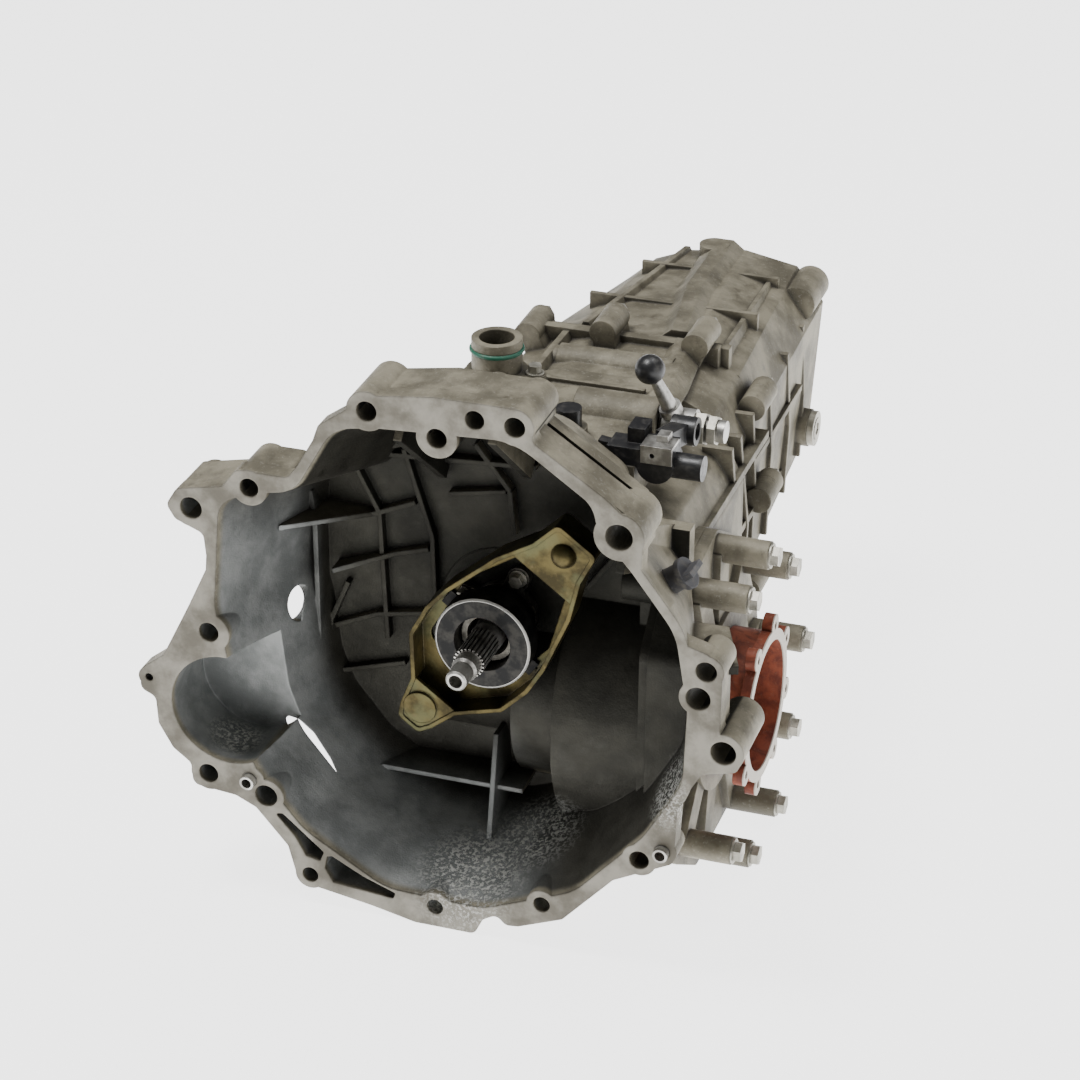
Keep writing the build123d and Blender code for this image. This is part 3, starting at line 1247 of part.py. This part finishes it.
# ---------------------------------------------------------------- write every node
def main():
    os.makedirs("parts", exist_ok=True)
    left, right, upper, lower = differential_gears()
    hub_34, hub_5r = (synchro_hub(0, STATION[n], INPUT_CORE) for n in ("three_four",
                                                                       "five_reverse"))
    bell_housing, gear_case = front_and_back(casting())
    nodes = {
        "bell_housing": bell_housing,
        "gear_case": gear_case,
        "rear_case": rear_case(),
        "rear_cover": rear_cover(),
        "differential_cover": differential_cover(),
        "output_hub": output_hub(),
        "left_output_hub": left_output_hub(),
        "differential_cover_bolts": bolts_along_x(COVER_BOLTS, COVER_FACE + COVER_LIFT, 65, 4),
        "rear_bolts": bolts_along_y(REAR_FLANGE_BOLTS, SPLIT + BOLT_LAND, 32, 4)
        + bolts_along_y(REAR_COVER_BOLTS, REAR_END + 9, 40, 4),
        "small_screws": bolts_along_y(GUIDE_SCREWS, BELL_BACK - 7, 15, 2.5, -1, 5)
        + [Pos(-8, 197, 142) * hex_bolt(15, 2.5, 5, 7)],
        "dowel_sleeves": dowel_sleeves(),
        "input_shaft": input_shaft(),
        "output_shaft": output_shaft(),
        "input_synchro_hubs": [hub_34, hub_5r],
        "output_synchro_hub": synchro_hub(-SHAFT_DROP, STATION["one_two"], OUTPUT_CORE),
        "one_two_sleeve": synchro_sleeve(-SHAFT_DROP, STATION["one_two"]),
        "three_four_sleeve": synchro_sleeve(0, STATION["three_four"]),
        "five_reverse_sleeve": synchro_sleeve(0, STATION["five_reverse"]),
        "input_synchro_rings": synchro_rings(0, STATION["three_four"])
        + synchro_rings(0, STATION["five_reverse"]),
        "output_synchro_rings": synchro_rings(-SHAFT_DROP, STATION["one_two"]),
        "one_two_fork": fork(-SHAFT_DROP, STATION["one_two"], (19, -35)),
        "three_four_fork": fork(0, STATION["three_four"], (34, 23)),
        "five_reverse_fork": fork(0, STATION["five_reverse"], (34, 23)),
        "shift_rail_and_idler_shaft": [shift_rail(), reverse_idler_shaft()],
        "driven_gear_cluster": driven_gear_cluster(),
        "reverse_idler_gear": reverse_idler_gear(),
        "crown_wheel": crown_wheel(),
        "crown_wheel_bolts": crown_bolts(),
        "differential_carrier": differential_carrier(),
        "cross_pin": cross_pin(),
        "left_side_gear": left,
        "right_side_gear": right,
        "upper_spider_gear": upper,
        "lower_spider_gear": lower,
        "shaft_bearings": input_bearings() + tapered_bearings(),
        "output_seals": output_seals(),
        "release_lever": release_lever(),
        "pivot_ball_stud": pivot_ball_stud(),
        "lever_spring": lever_spring(),
        "guide_sleeve": guide_sleeve(),
        "release_bearing_carrier": release_carrier(),
        "release_bearing_race": release_race(),
        "selector_shaft": selector_shaft(),
        "shift_lever": shift_lever(),
        "shift_ball": shift_ball(),
        "selector_nuts": selector_nuts(),
        "linkage_bracket": linkage_bracket(),
        "linkage_clip": linkage_clip(),
        "reversing_switch": reversing_switch(),
        "neck_tube": neck_tube(),
        "neck_seal": neck_seal(),
        "breather_cap": breather_cap(),
        "inspection_plug": inspection_plug(),
        "oil_plug": oil_plugs(),
    }
    for name in ("first", "second", "third", "fourth", "fifth", "reverse"):
        role = "driven" if name in ("first", "second") else "drive"
        nodes[f"{name}_{role}_gear"] = idle_gear(name)
    for name, shape in nodes.items():
        save(name, shape)


main()
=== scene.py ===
import json

import bmesh
import bpy
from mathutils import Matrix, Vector


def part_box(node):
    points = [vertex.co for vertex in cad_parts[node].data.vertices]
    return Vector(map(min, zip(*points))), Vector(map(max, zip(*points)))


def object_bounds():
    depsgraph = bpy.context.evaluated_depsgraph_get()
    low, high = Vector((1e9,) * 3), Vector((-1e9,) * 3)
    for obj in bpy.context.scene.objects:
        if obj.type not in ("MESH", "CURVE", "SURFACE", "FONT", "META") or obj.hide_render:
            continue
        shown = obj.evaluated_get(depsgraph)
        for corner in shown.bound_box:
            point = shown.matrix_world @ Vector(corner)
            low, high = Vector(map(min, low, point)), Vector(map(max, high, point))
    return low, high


# A five-speed and reverse manual transaxle, seen from the front and the upper right.
# Everything is in metres, in the CAD frame: +Y runs along the input shaft to the rear, +X to
# the differential cover, +Z up, and the origin lies in the mating face of the bell.

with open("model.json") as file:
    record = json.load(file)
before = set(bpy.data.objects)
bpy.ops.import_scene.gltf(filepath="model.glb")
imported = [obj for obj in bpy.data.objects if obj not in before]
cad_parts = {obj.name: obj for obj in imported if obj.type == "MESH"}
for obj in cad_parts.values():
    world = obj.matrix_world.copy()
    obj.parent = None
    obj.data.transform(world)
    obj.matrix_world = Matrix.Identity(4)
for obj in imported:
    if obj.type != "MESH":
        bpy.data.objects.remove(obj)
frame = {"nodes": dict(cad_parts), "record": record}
cad_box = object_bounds()
nodes = frame["nodes"]

BELL_CENTRE = (0.008, -0.014)  # x and z of the middle of the bell
BELL_DEPTH = 0.124
BELL_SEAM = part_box("bell_housing")[1].y  # the casting is parted here, and must look whole
HUB_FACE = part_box("output_hub")[1].x
FLOOR_Z = cad_box[0][2]
FLOOR_GAP = 0.0005
FLOOR_REACH = 60  # so far that low views see no edge
SKY_STRENGTH = 0.20
LIT_POINT = (0, 0.2, 0)
OCCLUSION_SAMPLES = 8
BEVEL_SAMPLES = 6


# ---------------------------------------------------------------- camera, light and floor
def make_camera():
    """The viewing angle of the photograph."""
    camera = bpy.data.objects.new("camera", bpy.data.cameras.new("camera"))
    camera.data.lens = 106.67
    camera.data.sensor_width = 36
    camera.location = (0.6421, -1.7232, 1.0867)
    forward = Vector((-0.2818, 0.8371, -0.4689))
    camera.rotation_euler = forward.to_track_quat("-Z", "Y").to_euler()
    bpy.context.scene.collection.objects.link(camera)
    bpy.context.scene.camera = camera


def area_light(name, place, target, size, power):
    """A white square lamp that looks at the target."""
    light = bpy.data.lights.new(name, "AREA")
    light.size = size
    light.energy = power
    lamp = bpy.data.objects.new(name, light)
    lamp.location = place
    lamp.rotation_euler = (Vector(target) - Vector(place)).to_track_quat("-Z", "Y").to_euler()
    bpy.context.scene.collection.objects.link(lamp)


def make_stage():
    """A dim white sky, three soft lamps and a pale floor that glows a little."""
    world = bpy.data.worlds.new("studio")
    world.use_nodes = True
    background = world.node_tree.nodes["Background"]
    background.inputs["Color"].default_value = (1, 1, 1, 1)
    background.inputs["Strength"].default_value = SKY_STRENGTH
    bpy.context.scene.world = world
    area_light("key", (-0.7, -0.1, 2.2), LIT_POINT, 0.7, 56)
    area_light("top", (0.6, 0.9, 2.2), LIT_POINT, 1.0, 20)
    area_light("fill", (2.0, -0.8, 0.9), LIT_POINT, 1.0, 8)
    mesh = bpy.data.meshes.new("floor")
    builder = bmesh.new()
    bmesh.ops.create_grid(builder, x_segments=2, y_segments=2, size=FLOOR_REACH)
    builder.to_mesh(mesh)
    builder.free()
    floor = bpy.data.objects.new("floor", mesh)
    floor.location = (0, 0, FLOOR_Z - FLOOR_GAP)
    bpy.context.scene.collection.objects.link(floor)
    material = Shader("floor")
    material.put("Base Color", (0.35, 0.35, 0.35))
    material.put("Roughness", 0.9)
    material.put("Emission Color", (1, 1, 1))
    material.put("Emission Strength", 3.0)
    floor.data.materials.append(material.material)


# ---------------------------------------------------------------- node material helper
class Shader:
    """A material whose nodes are wired by short calls. Sockets and numbers are both values."""

    def __init__(self, name):
        self.material = bpy.data.materials.new(name)
        self.material.use_nodes = True
        self.tree = self.material.node_tree
        self.surface = self.tree.nodes["Principled BSDF"]
        self.coordinates = self.tree.nodes.new("ShaderNodeTexCoord").outputs["Object"]
        self.geometry = self.tree.nodes.new("ShaderNodeNewGeometry")

    def feed(self, socket, value):
        if isinstance(value, bpy.types.NodeSocket):
            self.tree.links.new(value, socket)
        elif socket.type == "RGBA":
            socket.default_value = (*value, 1)
        else:
            socket.default_value = value

    def put(self, name, value):
        self.feed(self.surface.inputs[name], value)

    def math(self, operation, *values):
        node = self.tree.nodes.new("ShaderNodeMath")
        node.operation = operation
        for socket, value in zip(node.inputs, values):
            self.feed(socket, value)
        return node.outputs[0]

    def between(self, value, low, high):
        """0 below low, 1 above high and a smooth rise in between."""
        node = self.tree.nodes.new("ShaderNodeMapRange")
        node.interpolation_type = "SMOOTHSTEP"
        self.feed(node.inputs["Value"], value)
        falling = low > high
        node.inputs["From Min"].default_value = high if falling else low
        node.inputs["From Max"].default_value = low if falling else high
        node.inputs["To Min"].default_value = 1.0 if falling else 0.0
        node.inputs["To Max"].default_value = 0.0 if falling else 1.0
        return node.outputs["Result"]

    def noise(self, size, detail=4.0, roughness=0.55, distortion=0.0, stretch=None):
        """Noise whose features are about size metres across."""
        node = self.tree.nodes.new("ShaderNodeTexNoise")
        node.inputs["Scale"].default_value = 1.0 / size
        node.inputs["Detail"].default_value = detail
        node.inputs["Roughness"].default_value = roughness
        node.inputs["Distortion"].default_value = distortion
        place = self.coordinates
        if stretch:
            mapping = self.tree.nodes.new("ShaderNodeMapping")
            mapping.inputs["Scale"].default_value = stretch
            self.feed(mapping.inputs["Vector"], place)
            place = mapping.outputs[0]
        self.feed(node.inputs["Vector"], place)
        return node.outputs["Fac"]

    def mix(self, amount, a, b):
        """Colour a where the amount is 0 and colour b where it is 1."""
        node = self.tree.nodes.new("ShaderNodeMix")
        node.data_type = "RGBA"
        self.feed(node.inputs[0], amount)
        self.feed(node.inputs[6], a)
        self.feed(node.inputs[7], b)
        return node.outputs[2]

    def part(self, vector, axis):
        """One component of a vector: 0 for x, 1 for y, 2 for z."""
        node = self.tree.nodes.new("ShaderNodeSeparateXYZ")
        self.feed(node.inputs[0], vector)
        return node.outputs[axis]

    def distance(self, place):
        node = self.tree.nodes.new("ShaderNodeVectorMath")
        node.operation = "DISTANCE"
        self.feed(node.inputs[0], self.coordinates)
        node.inputs[1].default_value = place
        return node.outputs["Value"]

    def normal_of_object(self):
        node = self.tree.nodes.new("ShaderNodeTexCoord")
        return node.outputs["Normal"]

    def patch(self, place, radius):
        """1 at a place, fading to 0 at the radius."""
        return self.between(self.distance(place), radius, 0.3 * radius)

    def occlusion(self, reach):
        """1 in the open, falling towards 0 in corners within the reach."""
        node = self.tree.nodes.new("ShaderNodeAmbientOcclusion")
        node.inputs["Distance"].default_value = reach
        node.samples = OCCLUSION_SAMPLES
        return node.outputs["AO"]

    def bump(self, height, distance, strength=1.0, soften=0.0, seam=None):
        """Surface relief over softened edges. Near a seam in Y the edges stay unsoftened."""
        node = self.tree.nodes.new("ShaderNodeBump")
        node.inputs["Distance"].default_value = distance
        node.inputs["Strength"].default_value = strength
        self.feed(node.inputs["Height"], height)
        bevel = self.tree.nodes.new("ShaderNodeBevel")
        bevel.samples = BEVEL_SAMPLES
        bevel.inputs["Radius"].default_value = soften
        normal = bevel.outputs[0]
        if seam is not None:
            offset = self.math("SUBTRACT", self.part(self.coordinates, 1), seam)
            near = self.between(self.math("ABSOLUTE", offset), 1.6 * soften, 1.3 * soften)
            blend = self.tree.nodes.new("ShaderNodeMix")
            blend.data_type = "VECTOR"
            self.feed(blend.inputs[0], near)
            self.feed(blend.inputs[4], normal)
            self.feed(blend.inputs[5], self.geometry.outputs["Normal"])
            normal = blend.outputs[1]
        self.feed(node.inputs["Normal"], normal)
        return node.outputs[0]


# ---------------------------------------------------------------- materials
CAST_LIGHT = (0.250, 0.227, 0.168)
CAST_DARK = (0.105, 0.094, 0.066)
# painted shade: the near-black colour that the occlusion masks lay into corners and creases of
# cast, steel and lever parts
CORNER_SHADE = (0.030, 0.027, 0.021)
SALT = (0.66, 0.66, 0.62)
DUST_AND_LIGHT_COVER = 0.94  # how far the clutch dust with painted shade and painted light hides the casting's own colour
TURN = 0.012  # width of the soft border between inside and outside faces
RIM_FADE = (0.002, 0.008)  # depths between which the dust and painted shade set in behind the flange
BACK_FADE = 0.004  # how far past the back wall the dust and painted shade end
MILLED_FADE = (0.0009, 0.0003)  # depths between which the milled face ends


def inside_bell(shader):
    """1 on the surfaces that face the inside of the bell, 0 elsewhere."""
    normal = shader.normal_of_object()
    position = shader.coordinates
    across = shader.math("MULTIPLY", shader.part(normal, 0),
                         shader.math("SUBTRACT", shader.part(position, 0), BELL_CENTRE[0]))
    upward = shader.math("MULTIPLY", shader.part(normal, 2),
                         shader.math("SUBTRACT", shader.part(position, 2), BELL_CENTRE[1]))
    along = shader.math("MULTIPLY", shader.part(normal, 1), 0.1)
    facing = shader.math("ADD", shader.math("ADD", across, upward), along)
    inwards = shader.between(facing, TURN, -TURN)
    depth = shader.part(position, 1)
    band = shader.math("MULTIPLY", shader.between(depth, *RIM_FADE),
                       shader.between(depth, BELL_DEPTH + BACK_FADE, BELL_DEPTH))
    return shader.math("MULTIPLY", inwards, band)


def clutch_dust_and_painted_light(shader):
    """The colour inside the bell: clutch dust with painted shade, near black behind the clutch,
    and painted light, blue-grey low on the wall.
    """
    x = shader.part(shader.coordinates, 0)
    depth = shader.part(shader.coordinates, 1)
    z = shader.part(shader.coordinates, 2)
    film = shader.between(shader.noise(0.03, 4, 0.6), 0.34, 0.66)
    # painted shade: the back of the bell near black, lighter towards the left and towards the
    # bottom where light reaches it
    dark = shader.mix(film, (0.005, 0.005, 0.0035), (0.013, 0.013, 0.010))
    left = shader.mix(film, (0.017, 0.0165, 0.013), (0.036, 0.035, 0.028))
    lean = shader.math("ADD", x, shader.math("MULTIPLY", z, 0.35))
    leftness = shader.between(lean, -0.045, -0.105)
    back = shader.mix(leftness, dark, left)
    low = shader.mix(film, (0.036, 0.035, 0.029), (0.062, 0.060, 0.051))
    back = shader.mix(shader.between(z, -0.03, -0.11), back, low)
    # painted light: the lower left wall near the front is lit blue-grey
    wall = shader.mix(film, (0.17, 0.18, 0.178), (0.29, 0.30, 0.295))
    slant = shader.math("ADD", z, shader.math("MULTIPLY", x, 1.2))
    lower_left = shader.between(slant, -0.05, -0.13)
    near = shader.between(depth, 0.105, 0.075)
    return shader.mix(shader.math("MULTIPLY", lower_left, near), back, wall)


def machined_rim(shader, colour, clouds):
    """The milled face of the flange, brown with age, and its mask."""
    face = shader.between(shader.part(shader.coordinates, 1), *MILLED_FADE)
    milled = shader.mix(shader.between(clouds, 0.36, 0.64), (0.095, 0.085, 0.063),
                        (0.235, 0.220, 0.182))
    return shader.mix(face, colour, milled), face


SALT_PATCHES = [  # middle and radius of each crust of pale corrosion
    ((0.005, 0.030, -0.170), 0.052),
    ((0.040, 0.065, -0.150), 0.045),
    ((-0.172, 0.030, -0.086), 0.026),
    ((0.150, 0.020, -0.060), 0.034),
]


def salt_crust(shader):
    """1 on the crumbs of pale corrosion inside the salt patches."""
    salted = 0.0
    for place, radius in SALT_PATCHES:
        salted = shader.math("MAXIMUM", salted, shader.patch(place, radius))
    crumbs = shader.between(shader.noise(0.0026, 5, 0.75), 0.49, 0.55)
    return shader.math("MULTIPLY", salted, crumbs)


def cast_aluminium(name, bell=False):
    """Sand-cast alloy: grain, lumps, painted shade in the corners and pale corrosion in patches.
    """
    shader = Shader(name)
    grain = shader.noise(0.0012, 3)
    lumps = shader.noise(0.007, 4)
    clouds = shader.noise(0.035, 5, 0.6)
    colour = shader.mix(shader.between(clouds, 0.34, 0.66), CAST_DARK, CAST_LIGHT)
    speckle = shader.between(shader.noise(0.0026, 4, 0.7), 0.56, 0.70)
    colour = shader.mix(shader.math("MULTIPLY", speckle, 0.30), colour, (0.40, 0.38, 0.33))
    stains = shader.between(shader.noise(0.014, 6, 0.7), 0.55, 0.70)
    colour = shader.mix(shader.math("MULTIPLY", stains, 0.60), colour, (0.075, 0.064, 0.042))
    # painted shade: darker in wide recesses and near black in tight corners, by ambient occlusion
    recess_shade = shader.between(shader.occlusion(0.045), 0.80, 0.25)
    colour = shader.mix(shader.math("MULTIPLY", recess_shade, 0.65), colour, (0.055, 0.049, 0.034))
    corner = shader.between(shader.occlusion(0.009), 0.85, 0.35)
    colour = shader.mix(shader.math("MULTIPLY", corner, 0.85), colour, CORNER_SHADE)
    height = shader.math("ADD", shader.math("MULTIPLY", grain, 0.5), lumps)
    metallic = 0.25
    if bell:
        inside = inside_bell(shader)
        metallic = shader.math("MULTIPLY_ADD", inside, 0.45, 0.25)
        # inside the bell: clutch dust with painted shade on the back and painted light low on the
        # wall
        colour = shader.mix(shader.math("MULTIPLY", inside, DUST_AND_LIGHT_COVER), colour,
                            clutch_dust_and_painted_light(shader))
        colour, face = machined_rim(shader, colour, clouds)
        salt = salt_crust(shader)
        colour = shader.mix(shader.math("MULTIPLY", salt, 0.8), colour, SALT)
        height = shader.math("MULTIPLY", height, shader.math("SUBTRACT", 1.0, face))
        height = shader.math("ADD", height, shader.math("MULTIPLY", salt, 1.4))
    shader.put("Base Color", colour)
    shader.put("Roughness", shader.mix(stains, (0.60,) * 3, (0.45,) * 3))
    shader.put("Metallic", metallic)
    seam = BELL_SEAM if bell else None
    shader.put("Normal", shader.bump(height, 0.0006, 0.7, 0.0016, seam))
    return shader.material


def bare_steel(name, light=(0.56, 0.55, 0.52), dark=(0.26, 0.25, 0.23), rust=0.25, rough=0.34):
    """Turned or ground steel with fine rings, oil film and a little rust."""
    shader = Shader(name)
    clouds = shader.noise(0.012, 5, 0.6)
    scratches = shader.noise(0.0012, 3, 0.6, 0.0, (1, 6, 1))
    colour = shader.mix(shader.between(clouds, 0.36, 0.64), dark, light)
    rusty = shader.between(shader.noise(0.006, 6, 0.7, 0.4), 0.58, 0.70)
    colour = shader.mix(shader.math("MULTIPLY", rusty, rust), colour, (0.16, 0.065, 0.028))
    # painted shade: near black in tight corners, by ambient occlusion
    corner = shader.between(shader.occlusion(0.004), 0.75, 0.30)
    colour = shader.mix(shader.math("MULTIPLY", corner, 0.7), colour, CORNER_SHADE)
    shader.put("Base Color", colour)
    shader.put("Metallic", 0.9)
    shader.put("Roughness", shader.mix(clouds, (rough,) * 3, (rough + 0.16,) * 3))
    shader.put("Normal", shader.bump(scratches, 0.00008, 0.6, 0.0004))
    return shader.material


def passivated_lever(name):
    """Pressed steel under yellow passivated zinc, greyer and darker where it is worn."""
    shader = Shader(name)
    clouds = shader.noise(0.018, 5, 0.6)
    colour = shader.mix(shader.between(clouds, 0.36, 0.64), (0.026, 0.020, 0.006),
                        (0.092, 0.073, 0.026))
    green = shader.between(shader.noise(0.03, 4), 0.50, 0.66)
    colour = shader.mix(shader.math("MULTIPLY", green, 0.5), colour, (0.10, 0.105, 0.05))
    dirt = shader.between(shader.noise(0.0045, 6, 0.7), 0.56, 0.72)
    colour = shader.mix(shader.math("MULTIPLY", dirt, 0.6), colour, (0.09, 0.065, 0.035))
    # painted shade: near black in tight corners, by ambient occlusion
    corner = shader.between(shader.occlusion(0.006), 0.75, 0.30)
    colour = shader.mix(shader.math("MULTIPLY", corner, 0.7), colour, CORNER_SHADE)
    shader.put("Base Color", colour)
    shader.put("Metallic", 0.8)
    shader.put("Roughness", shader.mix(clouds, (0.32,) * 3, (0.50,) * 3))
    height = shader.noise(0.003, 4)
    shader.put("Normal", shader.bump(height, 0.0002, 0.5, 0.0012))
    return shader.material


def greasy_bearing(name):
    """Black oxide under grease, with a thin bright rim where the clutch fingers ran."""
    shader = Shader(name)
    clouds = shader.noise(0.01, 4)
    colour = shader.mix(shader.between(clouds, 0.4, 0.65), (0.012, 0.012, 0.012),
                        (0.04, 0.038, 0.034))
    x = shader.part(shader.coordinates, 0)
    z = shader.part(shader.coordinates, 2)
    radius = shader.math("SQRT", shader.math("ADD", shader.math("MULTIPLY", x, x),
                                             shader.math("MULTIPLY", z, z)))
    front = shader.between(shader.part(shader.coordinates, 1), 0.0616, 0.0612)
    rim = shader.math("MULTIPLY", front, shader.between(radius, 0.0328, 0.0332))
    colour = shader.mix(rim, colour, (0.50, 0.49, 0.46))
    shader.put("Base Color", colour)
    shader.put("Metallic", 0.8)
    shader.put("Roughness", shader.mix(clouds, (0.45,) * 3, (0.62,) * 3))
    shader.put("Normal", shader.bump(shader.noise(0.002, 3), 0.00008, 0.5, 0.0006))
    return shader.material


def rusted_hub(name):
    """Rust-red primer on the neck; the machined face of the lip is bare and pale."""
    shader = Shader(name)
    clouds = shader.noise(0.014, 6, 0.65, 0.8)
    colour = shader.mix(shader.between(clouds, 0.34, 0.66), (0.115, 0.022, 0.010),
                        (0.26, 0.060, 0.026))
    dusty = shader.between(shader.noise(0.004, 5, 0.7), 0.56, 0.72)
    colour = shader.mix(shader.math("MULTIPLY", dusty, 0.35), colour, (0.30, 0.20, 0.14))
    # painted shade: dark red-brown in corners, by ambient occlusion
    corner = shader.between(shader.occlusion(0.01), 0.75, 0.30)
    colour = shader.mix(shader.math("MULTIPLY", corner, 0.6), colour, (0.03, 0.012, 0.008))
    lip = shader.between(shader.part(shader.coordinates, 0), HUB_FACE - 0.0012, HUB_FACE - 0.0006)
    colour = shader.mix(lip, colour, (0.50, 0.46, 0.40))
    shader.put("Base Color", colour)
    shader.put("Metallic", 0.15)
    shader.put("Roughness", 0.62)
    shader.put("Normal", shader.bump(shader.noise(0.0015, 4), 0.00025, 0.7, 0.0008))
    return shader.material


def moulded_plastic(name, colour=(0.018, 0.018, 0.020), dust=0.25, rough=0.45):
    """Moulded plastic with a fine grain and dust in the corners."""
    shader = Shader(name)
    dusty = shader.between(shader.noise(0.006, 6, 0.7, 0.4), 0.46, 0.70)
    tone = shader.mix(shader.math("MULTIPLY", dusty, dust), colour, (0.24, 0.22, 0.18))
    shader.put("Base Color", tone)
    shader.put("Roughness", shader.mix(dusty, (rough,) * 3, (rough + 0.25,) * 3))
    shader.put("Normal", shader.bump(shader.noise(0.0006, 3), 0.00006, 0.5, 0.0006))
    return shader.material


def rubber(name, colour):
    """Dull rubber with some dust."""
    shader = Shader(name)
    dusty = shader.between(shader.noise(0.004, 5, 0.7), 0.50, 0.72)
    tone = shader.mix(shader.math("MULTIPLY", dusty, 0.25), colour, (0.25, 0.24, 0.20))
    shader.put("Base Color", tone)
    shader.put("Roughness", 0.5)
    shader.put("Normal", shader.bump(shader.noise(0.001, 3), 0.00005, 0.5, 0.0003))
    return shader.material


def synchro_brass(name):
    """Turned brass of the synchroniser rings."""
    shader = Shader(name)
    clouds = shader.noise(0.008, 5, 0.6)
    colour = shader.mix(shader.between(clouds, 0.35, 0.65), (0.34, 0.22, 0.07), (0.66, 0.48, 0.20))
    shader.put("Base Color", colour)
    shader.put("Metallic", 0.95)
    shader.put("Roughness", shader.mix(clouds, (0.28,) * 3, (0.42,) * 3))
    shader.put("Normal", shader.bump(shader.noise(0.0008, 3), 0.00005, 0.5, 0.0003))
    return shader.material


MATERIALS = {
    "cast_aluminium": cast_aluminium("cast_aluminium"),
    "steel": bare_steel("steel"),
    "gear_steel": bare_steel("gear_steel", (0.40, 0.39, 0.37), (0.20, 0.195, 0.18), 0.05, 0.28),
    "lever_zinc": passivated_lever("lever_zinc"),
    "bearing_black": greasy_bearing("bearing_black"),
    "bearing_bright": bare_steel("bearing_bright", (0.62, 0.61, 0.58), (0.42, 0.41, 0.39), 0.1),
    "hub_rust": rusted_hub("hub_rust"),
    "bolt_steel": bare_steel("bolt_steel", (0.50, 0.48, 0.42), (0.28, 0.27, 0.23), 0.35, 0.42),
    "synchro_brass": synchro_brass("synchro_brass"),
    "fork_alloy": cast_aluminium("fork_alloy"),
    "black_plastic": moulded_plastic("black_plastic", (0.010, 0.010, 0.011), 0.10, 0.35),
    "grey_plastic": moulded_plastic("grey_plastic", (0.05, 0.05, 0.055), 0.35),
    "green_rubber": rubber("green_rubber", (0.012, 0.11, 0.065)),
    "black_rubber": rubber("black_rubber", (0.015, 0.015, 0.015)),
}


def paint_nodes():
    """Give every CAD node the material of its slot."""
    bell = cast_aluminium("cast_bell", bell=True)
    greasy = bare_steel("greasy_steel", (0.20, 0.19, 0.165), (0.06, 0.055, 0.045), 0.3, 0.40)
    special = {"bell_housing": bell, "gear_case": bell, "guide_sleeve": greasy}
    slots = {row["node"]: row["material_slot"] for row in frame["record"]["subparts"]}
    for name, node in nodes.items():
        node.data.materials.clear()
        node.data.materials.append(special.get(name, MATERIALS[slots[name]]))


# ---------------------------------------------------------------- build
make_camera()
make_stage()
paint_nodes()
